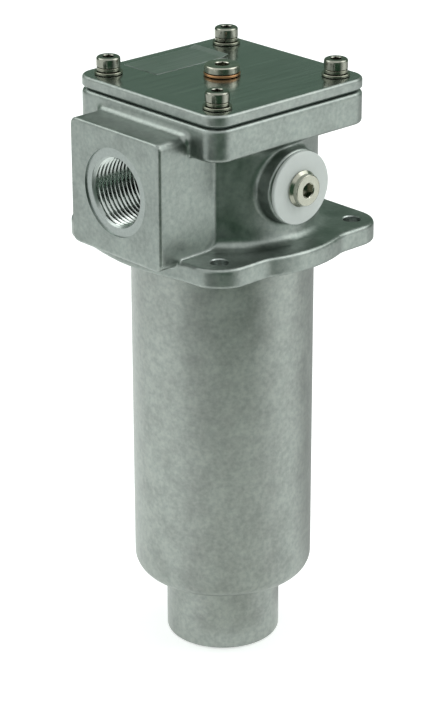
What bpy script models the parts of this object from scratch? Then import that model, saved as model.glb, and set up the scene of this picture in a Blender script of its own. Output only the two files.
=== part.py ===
"""Tank-top hydraulic return filter.

Oil enters the cast head through the port in front, passes the pleated element from the outside inwards and
leaves through the spigot under the bowl. A sprung poppet in the element's upper cap lets oil past a clogged
element. Lengths are in metres, +Z is up, and the port faces -Y.
"""

import math

import bmesh
import bpy
from mathutils import Matrix, Vector

MM = 0.001

# Clearances between separate pieces
SEAT_GAP = 0.2 * MM
FIT_GAP = 0.3 * MM

# How far cutters stand past the faces that they cut
OVERSHOOT = 6.0 * MM

# Bowl and outlet spigot
BOWL_RADIUS = 34.0 * MM
BOWL_WALL = 3.0 * MM
BOWL_LENGTH = 135.9 * MM
BOWL_SEAT_DEPTH = 0.6 * MM
BOWL_FLOOR = 5.0 * MM
BOWL_CORNER_RADIUS = 6.5 * MM
SPIGOT_RADIUS = 21.8 * MM
SPIGOT_LENGTH = 27.0 * MM
SPIGOT_END_RADIUS = 1.2 * MM
OUTLET_RADIUS = 18.0 * MM
NECK_RADIUS = 32.5 * MM
NECK_BORE_RADIUS = 29.5 * MM
NECK_LENGTH = 13.0 * MM
NECK_TAPER = 6.0 * MM
NECK_CHAMFER = 0.8 * MM
NECK_GROOVE_DEPTH = 1.9 * MM
NECK_GROOVE_WIDTH = 2.8 * MM
NECK_GROOVE_HEIGHT = 2.0 * MM

# Mounting flange of the head, a rounded rectangle with a disc that swells its two sides along Y
MOUNT_THICKNESS = 7.3 * MM
MOUNT_DISC_RADIUS = 47.6 * MM
MOUNT_LOBE_STEP = 3.8 * MM
MOUNT_SIDE_STEP = 1.3 * MM
MOUNT_LOBE_RADIUS = 12.4 * MM
MOUNT_WAIST_RADIUS = 12.0 * MM
MOUNT_EDGE_RADIUS = 1.5 * MM
MOUNT_HOLE_RADIUS = 3.3 * MM
MOUNT_HOLE_MARGIN = 9.4 * MM

# Head body and its square top flange
HEAD_RADIUS = 35.0 * MM
HEAD_BORE_RADIUS = 30.0 * MM
SQUARE_WIDTH = 76.0 * MM
SQUARE_CORNER_RADIUS = 7.5 * MM
SQUARE_THICKNESS = 12.1 * MM
SQUARE_EDGE_RADIUS = 2.0 * MM
SQUARE_LOWER_BEVEL = 0.8 * MM
SCREW_MARGIN = 9.0 * MM

# Inlet port block
PORT_BLOCK_WIDTH = 48.2 * MM
PORT_BLOCK_HEIGHT = 47.0 * MM
PORT_BLOCK_REACH = 51.7 * MM
PORT_BLOCK_CORNER_RADIUS = 3.0 * MM
PORT_BLOCK_EDGE_RADIUS = 1.0 * MM
PORT_BLOCK_TOP_STEP = 5.0 * MM
PORT_BLOCK_DROP = 24.1 * MM
PORT_HEIGHT = 28.7 * MM
PORT_RADIUS = 12.06 * MM
PORT_CHAMFER = 1.9 * MM
PORT_SPOTFACE_RADIUS = 16.3 * MM
PORT_SPOTFACE_DEPTH = 0.6 * MM

# Gauge boss, its washer and its plug
BOSS_RADIUS = 13.9 * MM
BOSS_REACH = 39.8 * MM
BOSS_CHAMFER = 0.8 * MM
GAUGE_WASHER_RADIUS = 13.5 * MM
GAUGE_WASHER_THICKNESS = 1.5 * MM
GAUGE_PLUG_RADIUS = 6.7 * MM
GAUGE_PLUG_THICKNESS = 3.3 * MM
GAUGE_STEM_RADIUS = 4.6 * MM
GAUGE_STEM_LENGTH = 9.0 * MM
GAUGE_SOCKET_WIDTH = 5.0 * MM
GAUGE_SOCKET_DEPTH = 3.2 * MM
PLUG_CHAMFER = 0.6 * MM

# Gasket and cover
GASKET_THICKNESS = 0.7 * MM
GASKET_RECESS = 1.5 * MM
GASKET_BORE_RADIUS = 31.0 * MM
COVER_THICKNESS = 3.9 * MM
COVER_EDGE_RADIUS = 0.8 * MM
COVER_BOSS_HEIGHT = 5.0 * MM
COVER_PLUG_HOLE_RADIUS = 5.0 * MM

# Cover screws and their washers
SCREW_HEAD_RADIUS = 4.4 * MM
SCREW_HEAD_HEIGHT = 3.7 * MM
SCREW_HEAD_CHAMFER = 0.5 * MM
SCREW_SHANK_RADIUS = 2.4 * MM
SCREW_LENGTH = 16.0 * MM
SCREW_HOLE_RUNOUT = 1.0 * MM
SCREW_SOCKET_WIDTH = 4.0 * MM
SCREW_SOCKET_DEPTH = 2.2 * MM
SPRING_WASHER_RADIUS = 4.3 * MM
SPRING_WASHER_THICKNESS = 1.2 * MM
SPRING_WASHER_SPLIT = math.radians(16)
FLAT_WASHER_RADIUS = 5.2 * MM
FLAT_WASHER_THICKNESS = 1.0 * MM

# Filler plug and its copper washer
FILLER_RADIUS = 6.5 * MM
FILLER_THICKNESS = 2.6 * MM
FILLER_STEM_RADIUS = 4.7 * MM
FILLER_STEM_LENGTH = 8.0 * MM
FILLER_SOCKET_WIDTH = 5.0 * MM
FILLER_SOCKET_DEPTH = 3.5 * MM
COPPER_WASHER_RADIUS = 6.75 * MM
COPPER_WASHER_THICKNESS = 1.0 * MM

# Rating plate, blank
PLATE_LENGTH = 35.0 * MM
PLATE_WIDTH = 18.0 * MM
PLATE_THICKNESS = 0.4 * MM
PLATE_EDGE_MARGIN = 4.3 * MM

# Filter element
ELEMENT_LENGTH = 152.0 * MM
CAP_RADIUS = 26.0 * MM
CAP_THICKNESS = 1.6 * MM
CAP_RIM_WALL = 1.0 * MM
CAP_RIM_HEIGHT = 6.0 * MM
PLEAT_COUNT = 22
PLEAT_INNER_RADIUS = 16.6 * MM
PLEAT_FOLD_WIDTH = 1.4 * MM
MEDIUM_THICKNESS = 0.8 * MM
CORE_RADIUS = 15.6 * MM
CORE_WALL = 1.0 * MM
CORE_WINDOW_COLUMNS = 8
CORE_WINDOW_ROWS = 4
CORE_WINDOW_SHARE = 0.6
NOZZLE_RADIUS = 17.6 * MM
NOZZLE_BORE_RADIUS = 13.0 * MM
NOZZLE_LENGTH = 9.0 * MM
NOZZLE_GROOVE_DEPTH = 2.0 * MM
NOZZLE_GROOVE_WIDTH = 2.8 * MM
NOZZLE_GROOVE_HEIGHT = 2.4 * MM

# Bypass valve
SEAT_RADIUS = 9.0 * MM
SEAT_COLLAR_HEIGHT = 1.5 * MM
CAGE_RADIUS = 13.4 * MM
CAGE_WALL = 1.6 * MM
CAGE_LENGTH = 26.0 * MM
CAGE_BASE = 1.6 * MM
CAGE_RIM = 3.0 * MM
CAGE_WINDOW_COUNT = 3
CAGE_WINDOW_WIDTH = 14.0 * MM
POPPET_LAP = 1.8 * MM
POPPET_THICKNESS = 1.8 * MM
POPPET_STEM_RADIUS = 2.6 * MM
POPPET_STEM_LENGTH = 26.0 * MM
BYPASS_COIL_RADIUS = 6.0 * MM
BYPASS_WIRE_RADIUS = 0.6 * MM
BYPASS_TURNS = 4

# Hold-down spring
HOLD_COIL_RADIUS = 13.0 * MM
HOLD_WIRE_RADIUS = 1.0 * MM
HOLD_TURNS = 4
COIL_GUIDE_GAP = 0.9 * MM

# Reach of the mounting flange's lobes and places of the holes, from the outlines around them
MOUNT_LOBE_REACH = MOUNT_DISC_RADIUS - MOUNT_LOBE_STEP
MOUNT_SIDE_REACH = MOUNT_LOBE_REACH - MOUNT_SIDE_STEP
MOUNT_HOLE_SPACING_X = 2 * (MOUNT_LOBE_REACH - MOUNT_HOLE_MARGIN)
MOUNT_HOLE_SPACING_Y = 2 * (MOUNT_SIDE_REACH - MOUNT_HOLE_MARGIN)
SCREW_SPACING = SQUARE_WIDTH - 2 * SCREW_MARGIN

# Levels along the filter's axis, from the end of the spigot
FLOOR_Z = SPIGOT_LENGTH + BOWL_FLOOR
BOWL_SEAT_Z = SPIGOT_LENGTH + BOWL_LENGTH + SEAT_GAP
HEAD_Z = BOWL_SEAT_Z - BOWL_SEAT_DEPTH
MOUNT_TOP_Z = HEAD_Z + MOUNT_THICKNESS
PORT_Z = HEAD_Z + PORT_HEIGHT
PORT_BLOCK_Z = PORT_Z - PORT_BLOCK_DROP
HEAD_TOP_Z = PORT_BLOCK_Z + PORT_BLOCK_HEIGHT + PORT_BLOCK_TOP_STEP
SQUARE_Z = HEAD_TOP_Z - SQUARE_THICKNESS
NECK_TOP_Z = SPIGOT_LENGTH + BOWL_LENGTH + NECK_LENGTH
COVER_Z = HEAD_TOP_Z + GASKET_THICKNESS + 2 * SEAT_GAP
COVER_TOP_Z = COVER_Z + COVER_THICKNESS
ELEMENT_Z = FLOOR_Z + SEAT_GAP
ELEMENT_TOP_Z = ELEMENT_Z + ELEMENT_LENGTH
CAP_UNDER_Z = ELEMENT_TOP_Z - CAP_THICKNESS
POPPET_Z = CAP_UNDER_Z - FIT_GAP
CAGE_TOP_Z = CAP_UNDER_Z - SEAT_GAP
CAGE_FLOOR_Z = CAGE_TOP_Z - CAGE_LENGTH + CAGE_BASE

# The model's origin lies under the middle of its bounding box, so the filter's axis is a little behind it
AXIS_Y = (PORT_BLOCK_REACH - MOUNT_SIDE_REACH) / 2

# Sides of round pieces, by their size
LARGE_SIDES = 36
MEDIUM_SIDES = 24
SMALL_SIDES = 16
HOLE_SIDES = 10
WIRE_SIDES = 5
WIRE_STEPS = 10
CORNER_STEPS = 4
SMOOTH_ANGLE = math.radians(35)


def clear_scene():
    for item in list(bpy.data.objects):
        bpy.data.objects.remove(item, do_unlink=True)


def make_material(name, colour, metallic, roughness):
    material = bpy.data.materials.new(name)
    material.use_nodes = True
    shader = material.node_tree.nodes["Principled BSDF"]
    shader.inputs["Base Color"].default_value = (*colour, 1.0)
    shader.inputs["Metallic"].default_value = metallic
    shader.inputs["Roughness"].default_value = roughness
    return material


def add_mesh_object(name, mesh, material, axis, location=(0, 0, 0)):
    item = bpy.data.objects.new(name, mesh)
    bpy.context.scene.collection.objects.link(item)
    item.parent = axis
    item.location = location
    if material is not None and not mesh.materials:
        mesh.materials.append(material)
    return item


def finish_mesh(name, bm, smooth=True):
    """Turn a bmesh into a mesh with its faces pointing out."""
    bmesh.ops.recalc_face_normals(bm, faces=bm.faces)
    mesh = bpy.data.meshes.new(name)
    bm.to_mesh(mesh)
    bm.free()
    if smooth:
        mesh.shade_smooth()
        mesh.set_sharp_from_angle(angle=SMOOTH_ANGLE)
    return mesh


def turned_mesh(name, profile, sides):
    """Revolve a closed profile of (radius, height) points around Z; points on the axis may end it."""
    bm = bmesh.new()
    rings = []
    for radius, height in profile:
        if radius == 0:
            rings.append([bm.verts.new((0, 0, height))])
            continue
        ring = []
        for step in range(sides):
            angle = 2 * math.pi * step / sides
            ring.append(bm.verts.new((radius * math.cos(angle), radius * math.sin(angle), height)))
        rings.append(ring)
    for index, ring in enumerate(rings):
        following = rings[(index + 1) % len(rings)]
        if len(ring) == 1 and len(following) == 1:
            continue
        for step in range(sides):
            after = (step + 1) % sides
            if len(ring) == 1:
                bm.faces.new((ring[0], following[step], following[after]))
            elif len(following) == 1:
                bm.faces.new((ring[step], following[0], ring[after]))
            else:
                bm.faces.new((ring[step], following[step], following[after], ring[after]))
    return finish_mesh(name, bm)


def layered_mesh(name, layers):
    """Join outlines of equal length, each a list of points, into one closed solid."""
    bm = bmesh.new()
    loops = [[bm.verts.new(point) for point in layer] for layer in layers]
    for lower, upper in zip(loops, loops[1:]):
        for index, vertex in enumerate(lower):
            after = (index + 1) % len(lower)
            bm.faces.new((vertex, lower[after], upper[after], upper[index]))
    bm.faces.new(loops[0])
    bm.faces.new(loops[-1])
    return finish_mesh(name, bm)


def arc_points(centre, radius, start, end, steps):
    points = []
    for step in range(steps + 1):
        angle = start + (end - start) * step / steps
        points.append((centre[0] + radius * math.cos(angle), centre[1] + radius * math.sin(angle)))
    return points


def rounded_rectangle(width, height, radius):
    """Outline of a rectangle around the origin, counter-clockwise."""
    points = []
    corners = ((1, 1), (-1, 1), (-1, -1), (1, -1))
    for quarter, (side_x, side_y) in enumerate(corners):
        centre = (side_x * (width / 2 - radius), side_y * (height / 2 - radius))
        start = quarter * math.pi / 2
        points += arc_points(centre, radius, start, start + math.pi / 2, CORNER_STEPS)
    return points


def mount_outline(inset):
    """Outline of the mounting flange, straight in front and behind, with its disc and waists at the sides."""
    disc = MOUNT_DISC_RADIUS - inset
    reach_x = MOUNT_LOBE_REACH - inset
    reach_y = MOUNT_SIDE_REACH - inset
    lobe = MOUNT_LOBE_RADIUS - inset
    waist = MOUNT_WAIST_RADIUS + inset
    waist_x = reach_x + waist
    waist_y = math.sqrt((disc + waist) ** 2 - waist_x ** 2)
    waist_angle = math.atan2(waist_y, waist_x)
    quarter = arc_points((0, 0), disc, 0, waist_angle, 3)
    quarter += arc_points((waist_x, waist_y), waist, waist_angle + math.pi, math.pi, 3)[1:]
    quarter += arc_points((reach_x - lobe, reach_y - lobe), lobe, 0, math.pi / 2, 6)
    half = quarter + [(-x, y) for x, y in reversed(quarter)]
    return half + [(-x, -y) for x, y in half[1:-1]]


def rounded_edge(radius, steps):
    """Insets and depths that round an edge, from the face to the side."""
    values = []
    for step in range(steps + 1):
        angle = math.pi / 2 * step / steps
        values.append((radius * (1 - math.sin(angle)), radius * (1 - math.cos(angle))))
    return values


def flat_plate_layers(outline, bottom, top, bottom_radius, top_radius, top_steps=2):
    """Layers of a plate, bevelled below and rounded above; outline(inset) gives its points."""
    layers = []
    for inset, depth in rounded_edge(bottom_radius, 1):
        layers.append([(x, y, bottom + depth) for x, y in outline(inset)])
    for inset, depth in reversed(rounded_edge(top_radius, top_steps)):
        layers.append([(x, y, top - depth) for x, y in outline(inset)])
    return layers


def square_outline(width, radius):
    """Outline of a rounded square as a function of its inset."""
    return lambda inset: rounded_rectangle(width - 2 * inset, width - 2 * inset, radius - inset)


def corners(spacing_x, spacing_y):
    return [(x * spacing_x / 2, y * spacing_y / 2) for x, y in ((1, 1), (-1, 1), (-1, -1), (1, -1))]


def add_tool(name, mesh, axis, location=(0, 0, 0)):
    """Add a helper solid that only shapes other pieces."""
    tool = add_mesh_object(name, mesh, None, axis, location)
    tool.hide_render = True
    tool.display_type = 'WIRE'
    return tool


def combine(target, tool, operation):
    modifier = target.modifiers.new(f"{operation.lower()} {tool.name}", 'BOOLEAN')
    modifier.operation = operation
    modifier.solver = 'EXACT'
    modifier.object = tool


def cylinder_mesh(name, radius, bottom, top, sides):
    return turned_mesh(name, [(0, top), (radius, top), (radius, bottom), (0, bottom)], sides)


def turn_towards_port(item):
    """Lay a piece that was turned around Z along -Y, its top in front."""
    item.rotation_euler = (math.pi / 2, 0, 0)


def turn_towards_gauge(item):
    """Lay a piece that was turned around Z along +X, its top outwards."""
    item.rotation_euler = (0, math.pi / 2, 0)


def hex_socket_mesh(name, width, depth):
    """Hexagonal cutter whose upper end stands clear above the face that it cuts."""
    radius = width / math.sqrt(3)
    return cylinder_mesh(name, radius, -depth, depth, 6)


def mesh_with_socket(name, mesh, width, depth, top):
    """Cut a hex socket into a turned piece and return the finished mesh, ready to be shared."""
    blank = bpy.data.objects.new(name + "_blank", mesh)
    tool = bpy.data.objects.new(name + "_socket", hex_socket_mesh(name + "_socket", width, depth))
    tool.location = (0, 0, top)
    for item in (blank, tool):
        bpy.context.scene.collection.objects.link(item)
    combine(blank, tool, 'DIFFERENCE')
    depsgraph = bpy.context.evaluated_depsgraph_get()
    finished = bpy.data.meshes.new_from_object(blank.evaluated_get(depsgraph))
    finished.name = name
    for item in (blank, tool):
        bpy.data.objects.remove(item, do_unlink=True)
    finished.shade_smooth()
    finished.set_sharp_from_angle(angle=SMOOTH_ANGLE)
    return finished


def washer_mesh(name, outer, inner, thickness, sides):
    profile = [(outer, thickness), (outer, 0), (inner, 0), (inner, thickness)]
    return turned_mesh(name, profile, sides)


def ring_mesh(name, centre_radius, section_radius, sides):
    """An O-ring around Z at height zero."""
    profile = []
    for step in range(WIRE_SIDES):
        angle = -2 * math.pi * step / WIRE_SIDES
        radius = centre_radius + section_radius * math.cos(angle)
        profile.append((radius, section_radius * math.sin(angle)))
    return turned_mesh(name, profile, sides)


def coil_mesh(name, coil_radius, wire_radius, length, turns):
    """A compression spring from height zero up, with one closed turn at each end."""
    closed_pitch = 2 * wire_radius + SEAT_GAP
    rise = length - 2 * wire_radius - 2 * closed_pitch
    open_turns = turns - 2
    bm = bmesh.new()
    rings = []
    for step in range(turns * WIRE_STEPS + 1):
        turn = step / WIRE_STEPS
        angle = 2 * math.pi * turn
        lower = min(turn, 1) * closed_pitch
        middle = rise * min(max(turn - 1, 0), open_turns) / open_turns
        upper = max(turn - turns + 1, 0) * closed_pitch
        height = wire_radius + lower + middle + upper
        ring = []
        for side in range(WIRE_SIDES):
            around = 2 * math.pi * (side + 0.5) / WIRE_SIDES
            radius = coil_radius + wire_radius * math.cos(around)
            ring.append(bm.verts.new((radius * math.cos(angle), radius * math.sin(angle),
                                      height + wire_radius * math.sin(around))))
        rings.append(ring)
    for ring, following in zip(rings, rings[1:]):
        for side in range(WIRE_SIDES):
            after = (side + 1) % WIRE_SIDES
            bm.faces.new((ring[side], ring[after], following[after], following[side]))
    bm.faces.new(rings[0])
    bm.faces.new(rings[-1])
    return finish_mesh(name, bm)


def build_bowl(axis, aluminium):
    """The bowl with its outlet spigot below and its threaded neck above."""
    shoulder_z = SPIGOT_LENGTH + BOWL_LENGTH
    inner_radius = BOWL_RADIUS - BOWL_WALL
    inner_corner = BOWL_CORNER_RADIUS - BOWL_WALL
    groove_radius = NECK_RADIUS - NECK_GROOVE_DEPTH
    groove_z = shoulder_z + NECK_GROOVE_HEIGHT
    profile = [
        (NECK_BORE_RADIUS, NECK_TOP_Z),
        (NECK_RADIUS - NECK_CHAMFER, NECK_TOP_Z),
        (NECK_RADIUS, NECK_TOP_Z - NECK_CHAMFER),
        (NECK_RADIUS, groove_z + NECK_GROOVE_WIDTH),
        (groove_radius, groove_z + NECK_GROOVE_WIDTH),
        (groove_radius, groove_z),
        (NECK_RADIUS, groove_z),
        (NECK_RADIUS, shoulder_z),
        (BOWL_RADIUS, shoulder_z),
    ]
    corner = (BOWL_RADIUS - BOWL_CORNER_RADIUS, SPIGOT_LENGTH + BOWL_CORNER_RADIUS)
    profile += arc_points(corner, BOWL_CORNER_RADIUS, 0, -math.pi / 2, 3)
    profile.append((SPIGOT_RADIUS, SPIGOT_LENGTH))
    rim = (SPIGOT_RADIUS - SPIGOT_END_RADIUS, SPIGOT_END_RADIUS)
    profile += arc_points(rim, SPIGOT_END_RADIUS, 0, -math.pi / 2, 1)
    profile.append((OUTLET_RADIUS, 0))
    profile.append((OUTLET_RADIUS, FLOOR_Z))
    inside = (inner_radius - inner_corner, FLOOR_Z + inner_corner)
    profile += arc_points(inside, inner_corner, -math.pi / 2, 0, 1)
    profile.append((inner_radius, shoulder_z - 2 * NECK_TAPER))
    profile.append((NECK_BORE_RADIUS, shoulder_z - NECK_TAPER))
    mesh = turned_mesh("bowl", profile, LARGE_SIDES)
    add_mesh_object("bowl", mesh, aluminium, axis)


def build_bowl_seal(axis, rubber):
    """The O-ring in the groove of the bowl's neck, against the head's lower bore."""
    inner = NECK_RADIUS - NECK_GROOVE_DEPTH
    outer = NECK_RADIUS + FIT_GAP
    section = (outer - inner) / 2 - SEAT_GAP
    height = SPIGOT_LENGTH + BOWL_LENGTH + NECK_GROOVE_HEIGHT + NECK_GROOVE_WIDTH / 2
    mesh = ring_mesh("bowl_o_ring", (outer + inner) / 2, section, LARGE_SIDES)
    add_mesh_object("bowl_o_ring", mesh, rubber, axis, (0, 0, height))


def head_forms(axis):
    """The solids that the casting is made of, apart from the round body."""
    square = square_outline(SQUARE_WIDTH, SQUARE_CORNER_RADIUS)
    layers = flat_plate_layers(square, SQUARE_Z, HEAD_TOP_Z, SQUARE_LOWER_BEVEL, SQUARE_EDGE_RADIUS)
    forms = [add_tool("head_square_flange", layered_mesh("head_square_flange", layers), axis)]

    layers = flat_plate_layers(mount_outline, HEAD_Z, MOUNT_TOP_Z, MOUNT_EDGE_RADIUS / 2, MOUNT_EDGE_RADIUS)
    forms.append(add_tool("head_mount_flange", layered_mesh("head_mount_flange", layers), axis))

    def block_outline(inset):
        return rounded_rectangle(PORT_BLOCK_WIDTH - 2 * inset, PORT_BLOCK_HEIGHT - 2 * inset,
                                 PORT_BLOCK_CORNER_RADIUS - inset)

    block_z = PORT_BLOCK_Z + PORT_BLOCK_HEIGHT / 2
    root = HEAD_BORE_RADIUS / 2
    layers = [[(x, y, root) for x, y in block_outline(0)]]
    for inset, depth in reversed(rounded_edge(PORT_BLOCK_EDGE_RADIUS, 2)):
        layers.append([(x, y, PORT_BLOCK_REACH - depth) for x, y in block_outline(inset)])
    block = add_tool("head_port_block", layered_mesh("head_port_block", layers), axis, (0, 0, block_z))
    turn_towards_port(block)
    forms.append(block)

    profile = [(0, BOSS_REACH), (BOSS_RADIUS - BOSS_CHAMFER, BOSS_REACH),
               (BOSS_RADIUS, BOSS_REACH - BOSS_CHAMFER), (BOSS_RADIUS, root), (0, root)]
    mesh = turned_mesh("head_gauge_boss", profile, MEDIUM_SIDES)
    boss = add_tool("head_gauge_boss", mesh, axis, (0, 0, PORT_Z))
    turn_towards_gauge(boss)
    forms.append(boss)
    return forms


def head_cutters(axis):
    """The bores and holes that are machined into the casting."""
    above = HEAD_TOP_Z + OVERSHOOT
    below = HEAD_Z - OVERSHOOT
    lower_bore = NECK_RADIUS + FIT_GAP
    ledge_z = NECK_TOP_Z + FIT_GAP
    seat_radius = BOWL_RADIUS + FIT_GAP
    profile = [(0, above), (HEAD_BORE_RADIUS, above), (HEAD_BORE_RADIUS, ledge_z),
               (lower_bore, ledge_z), (lower_bore, BOWL_SEAT_Z), (seat_radius, BOWL_SEAT_Z),
               (seat_radius, below), (0, below)]
    cutters = [add_tool("head_bore", turned_mesh("head_bore", profile, LARGE_SIDES), axis)]

    front = PORT_BLOCK_REACH + OVERSHOOT
    seat = PORT_BLOCK_REACH - PORT_SPOTFACE_DEPTH
    profile = [(0, front), (PORT_SPOTFACE_RADIUS, front), (PORT_SPOTFACE_RADIUS, seat),
               (PORT_RADIUS + PORT_CHAMFER, seat), (PORT_RADIUS, seat - PORT_CHAMFER),
               (PORT_RADIUS, 0), (0, 0)]
    mesh = turned_mesh("head_port_bore", profile, MEDIUM_SIDES)
    port = add_tool("head_port_bore", mesh, axis, (0, 0, PORT_Z))
    turn_towards_port(port)
    cutters.append(port)

    radius = GAUGE_STEM_RADIUS + FIT_GAP
    mesh = cylinder_mesh("head_gauge_bore", radius, 0, BOSS_REACH + OVERSHOOT, SMALL_SIDES)
    gauge = add_tool("head_gauge_bore", mesh, axis, (0, 0, PORT_Z))
    turn_towards_gauge(gauge)
    cutters.append(gauge)

    mesh = cylinder_mesh("head_mount_hole", MOUNT_HOLE_RADIUS, below, MOUNT_TOP_Z + OVERSHOOT, SMALL_SIDES)
    for number, (x, y) in enumerate(corners(MOUNT_HOLE_SPACING_X, MOUNT_HOLE_SPACING_Y), 1):
        cutters.append(add_tool(f"head_mount_hole_{number}", mesh, axis, (x, y, 0)))

    bottom = screw_seat_z() - SCREW_LENGTH - SCREW_HOLE_RUNOUT
    mesh = cylinder_mesh("head_screw_hole", SCREW_SHANK_RADIUS + FIT_GAP, bottom, above, HOLE_SIDES)
    for number, (x, y) in enumerate(corners(SCREW_SPACING, SCREW_SPACING), 1):
        cutters.append(add_tool(f"head_screw_hole_{number}", mesh, axis, (x, y, 0)))
    return cutters


def build_head(axis, casting):
    mesh = cylinder_mesh("filter_head", HEAD_RADIUS, HEAD_Z + MOUNT_THICKNESS / 2,
                         SQUARE_Z + SQUARE_THICKNESS / 2, LARGE_SIDES)
    head = add_mesh_object("filter_head", mesh, casting, axis)
    for form in head_forms(axis):
        combine(head, form, 'UNION')
    for cutter in head_cutters(axis):
        combine(head, cutter, 'DIFFERENCE')


def build_gauge_port(axis, nylon, nickel):
    """The white washer on the side boss and the plug through it."""
    mesh = washer_mesh("gauge_washer", GAUGE_WASHER_RADIUS, GAUGE_STEM_RADIUS + FIT_GAP,
                       GAUGE_WASHER_THICKNESS, MEDIUM_SIDES)
    washer = add_mesh_object("gauge_washer", mesh, nylon, axis, (BOSS_REACH + SEAT_GAP, 0, PORT_Z))
    turn_towards_gauge(washer)

    blank = plug_blank("gauge_plug", GAUGE_PLUG_RADIUS, GAUGE_PLUG_THICKNESS,
                       GAUGE_STEM_RADIUS, GAUGE_STEM_LENGTH)
    mesh = mesh_with_socket("gauge_plug", blank, GAUGE_SOCKET_WIDTH, GAUGE_SOCKET_DEPTH, GAUGE_PLUG_THICKNESS)
    seat = BOSS_REACH + GAUGE_WASHER_THICKNESS + 2 * SEAT_GAP
    plug = add_mesh_object("gauge_plug", mesh, nickel, axis, (seat, 0, PORT_Z))
    turn_towards_gauge(plug)


def plug_blank(name, radius, thickness, stem_radius, stem_length):
    """A plug with a collar, its seat at height zero and its stem below."""
    profile = [
        (0, thickness),
        (radius - PLUG_CHAMFER, thickness),
        (radius, thickness - PLUG_CHAMFER),
        (radius, 0),
        (stem_radius, 0),
        (stem_radius, -stem_length),
        (0, -stem_length),
    ]
    return turned_mesh(name, profile, SMALL_SIDES)


def build_gasket(axis, fibre):
    width = SQUARE_WIDTH - 2 * GASKET_RECESS
    radius = SQUARE_CORNER_RADIUS - GASKET_RECESS
    outline = rounded_rectangle(width, width, radius)
    layers = [[(x, y, z) for x, y in outline] for z in (0, GASKET_THICKNESS)]
    location = (0, 0, HEAD_TOP_Z + SEAT_GAP)
    gasket = add_mesh_object("cover_gasket", layered_mesh("cover_gasket", layers), fibre, axis, location)
    mesh = cylinder_mesh("gasket_bore", GASKET_BORE_RADIUS, HEAD_TOP_Z, COVER_TOP_Z, LARGE_SIDES)
    combine(gasket, add_tool("gasket_bore", mesh, axis), 'DIFFERENCE')
    cut_screw_holes(gasket, "gasket_screw_hole", axis)


def cut_screw_holes(target, name, axis):
    """Cut the four clearance holes of the cover screws."""
    mesh = cylinder_mesh(name, SCREW_SHANK_RADIUS + FIT_GAP, HEAD_TOP_Z, screw_seat_z(), HOLE_SIDES)
    for number, (x, y) in enumerate(corners(SCREW_SPACING, SCREW_SPACING), 1):
        combine(target, add_tool(f"{name}_{number}", mesh, axis, (x, y, 0)), 'DIFFERENCE')


def build_cover(axis, aluminium):
    """The cover plate, with a boss below that takes the filler plug and guides the spring."""
    square = square_outline(SQUARE_WIDTH, SQUARE_CORNER_RADIUS)
    layers = flat_plate_layers(square, COVER_Z, COVER_TOP_Z, COVER_EDGE_RADIUS / 2, COVER_EDGE_RADIUS)
    cover = add_mesh_object("cover_plate", layered_mesh("cover_plate", layers), aluminium, axis)
    boss_radius = HOLD_COIL_RADIUS - HOLD_WIRE_RADIUS - COIL_GUIDE_GAP
    mesh = cylinder_mesh("cover_boss", boss_radius, COVER_Z - COVER_BOSS_HEIGHT,
                         COVER_Z + COVER_THICKNESS / 2, MEDIUM_SIDES)
    combine(cover, add_tool("cover_boss", mesh, axis), 'UNION')
    mesh = cylinder_mesh("cover_plug_hole", COVER_PLUG_HOLE_RADIUS, HEAD_Z, screw_seat_z(), SMALL_SIDES)
    combine(cover, add_tool("cover_plug_hole", mesh, axis), 'DIFFERENCE')
    cut_screw_holes(cover, "cover_screw_hole", axis)


def screw_seat_z():
    """Height of the underside of the cover screws' heads."""
    return COVER_TOP_Z + FLAT_WASHER_THICKNESS + SPRING_WASHER_THICKNESS + 3 * SEAT_GAP


def screw_mesh():
    profile = [
        (0, SCREW_HEAD_HEIGHT),
        (SCREW_HEAD_RADIUS - SCREW_HEAD_CHAMFER, SCREW_HEAD_HEIGHT),
        (SCREW_HEAD_RADIUS, SCREW_HEAD_HEIGHT - SCREW_HEAD_CHAMFER),
        (SCREW_HEAD_RADIUS, 0),
        (SCREW_SHANK_RADIUS, 0),
        (SCREW_SHANK_RADIUS, -SCREW_LENGTH),
        (0, -SCREW_LENGTH),
    ]
    blank = turned_mesh("cover_screw", profile, SMALL_SIDES)
    return mesh_with_socket("cover_screw", blank, SCREW_SOCKET_WIDTH, SCREW_SOCKET_DEPTH, SCREW_HEAD_HEIGHT)


def spring_washer_mesh():
    """A split ring of rectangular section, pressed flat by its screw."""
    inner = SCREW_SHANK_RADIUS + FIT_GAP
    section = [(inner, 0), (SPRING_WASHER_RADIUS, 0), (SPRING_WASHER_RADIUS, SPRING_WASHER_THICKNESS),
               (inner, SPRING_WASHER_THICKNESS)]
    layers = []
    for step in range(HOLE_SIDES + 1):
        angle = SPRING_WASHER_SPLIT / 2 + (2 * math.pi - SPRING_WASHER_SPLIT) * step / HOLE_SIDES
        layers.append([(r * math.cos(angle), r * math.sin(angle), z) for r, z in section])
    return layered_mesh("spring_washer", layers)


def build_cover_screws(axis, steel):
    """Each corner holds a screw on a spring washer on a flat washer."""
    hole = SCREW_SHANK_RADIUS + FIT_GAP
    flat = washer_mesh("flat_washer", FLAT_WASHER_RADIUS, hole, FLAT_WASHER_THICKNESS, SMALL_SIDES)
    spring = spring_washer_mesh()
    screw = screw_mesh()
    flat_z = COVER_TOP_Z + SEAT_GAP
    spring_z = flat_z + FLAT_WASHER_THICKNESS + SEAT_GAP
    for number, (x, y) in enumerate(corners(SCREW_SPACING, SCREW_SPACING), 1):
        add_mesh_object(f"flat_washer_{number}", flat, steel, axis, (x, y, flat_z))
        add_mesh_object(f"spring_washer_{number}", spring, steel, axis, (x, y, spring_z))
        add_mesh_object(f"cover_screw_{number}", screw, steel, axis, (x, y, screw_seat_z()))


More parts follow.
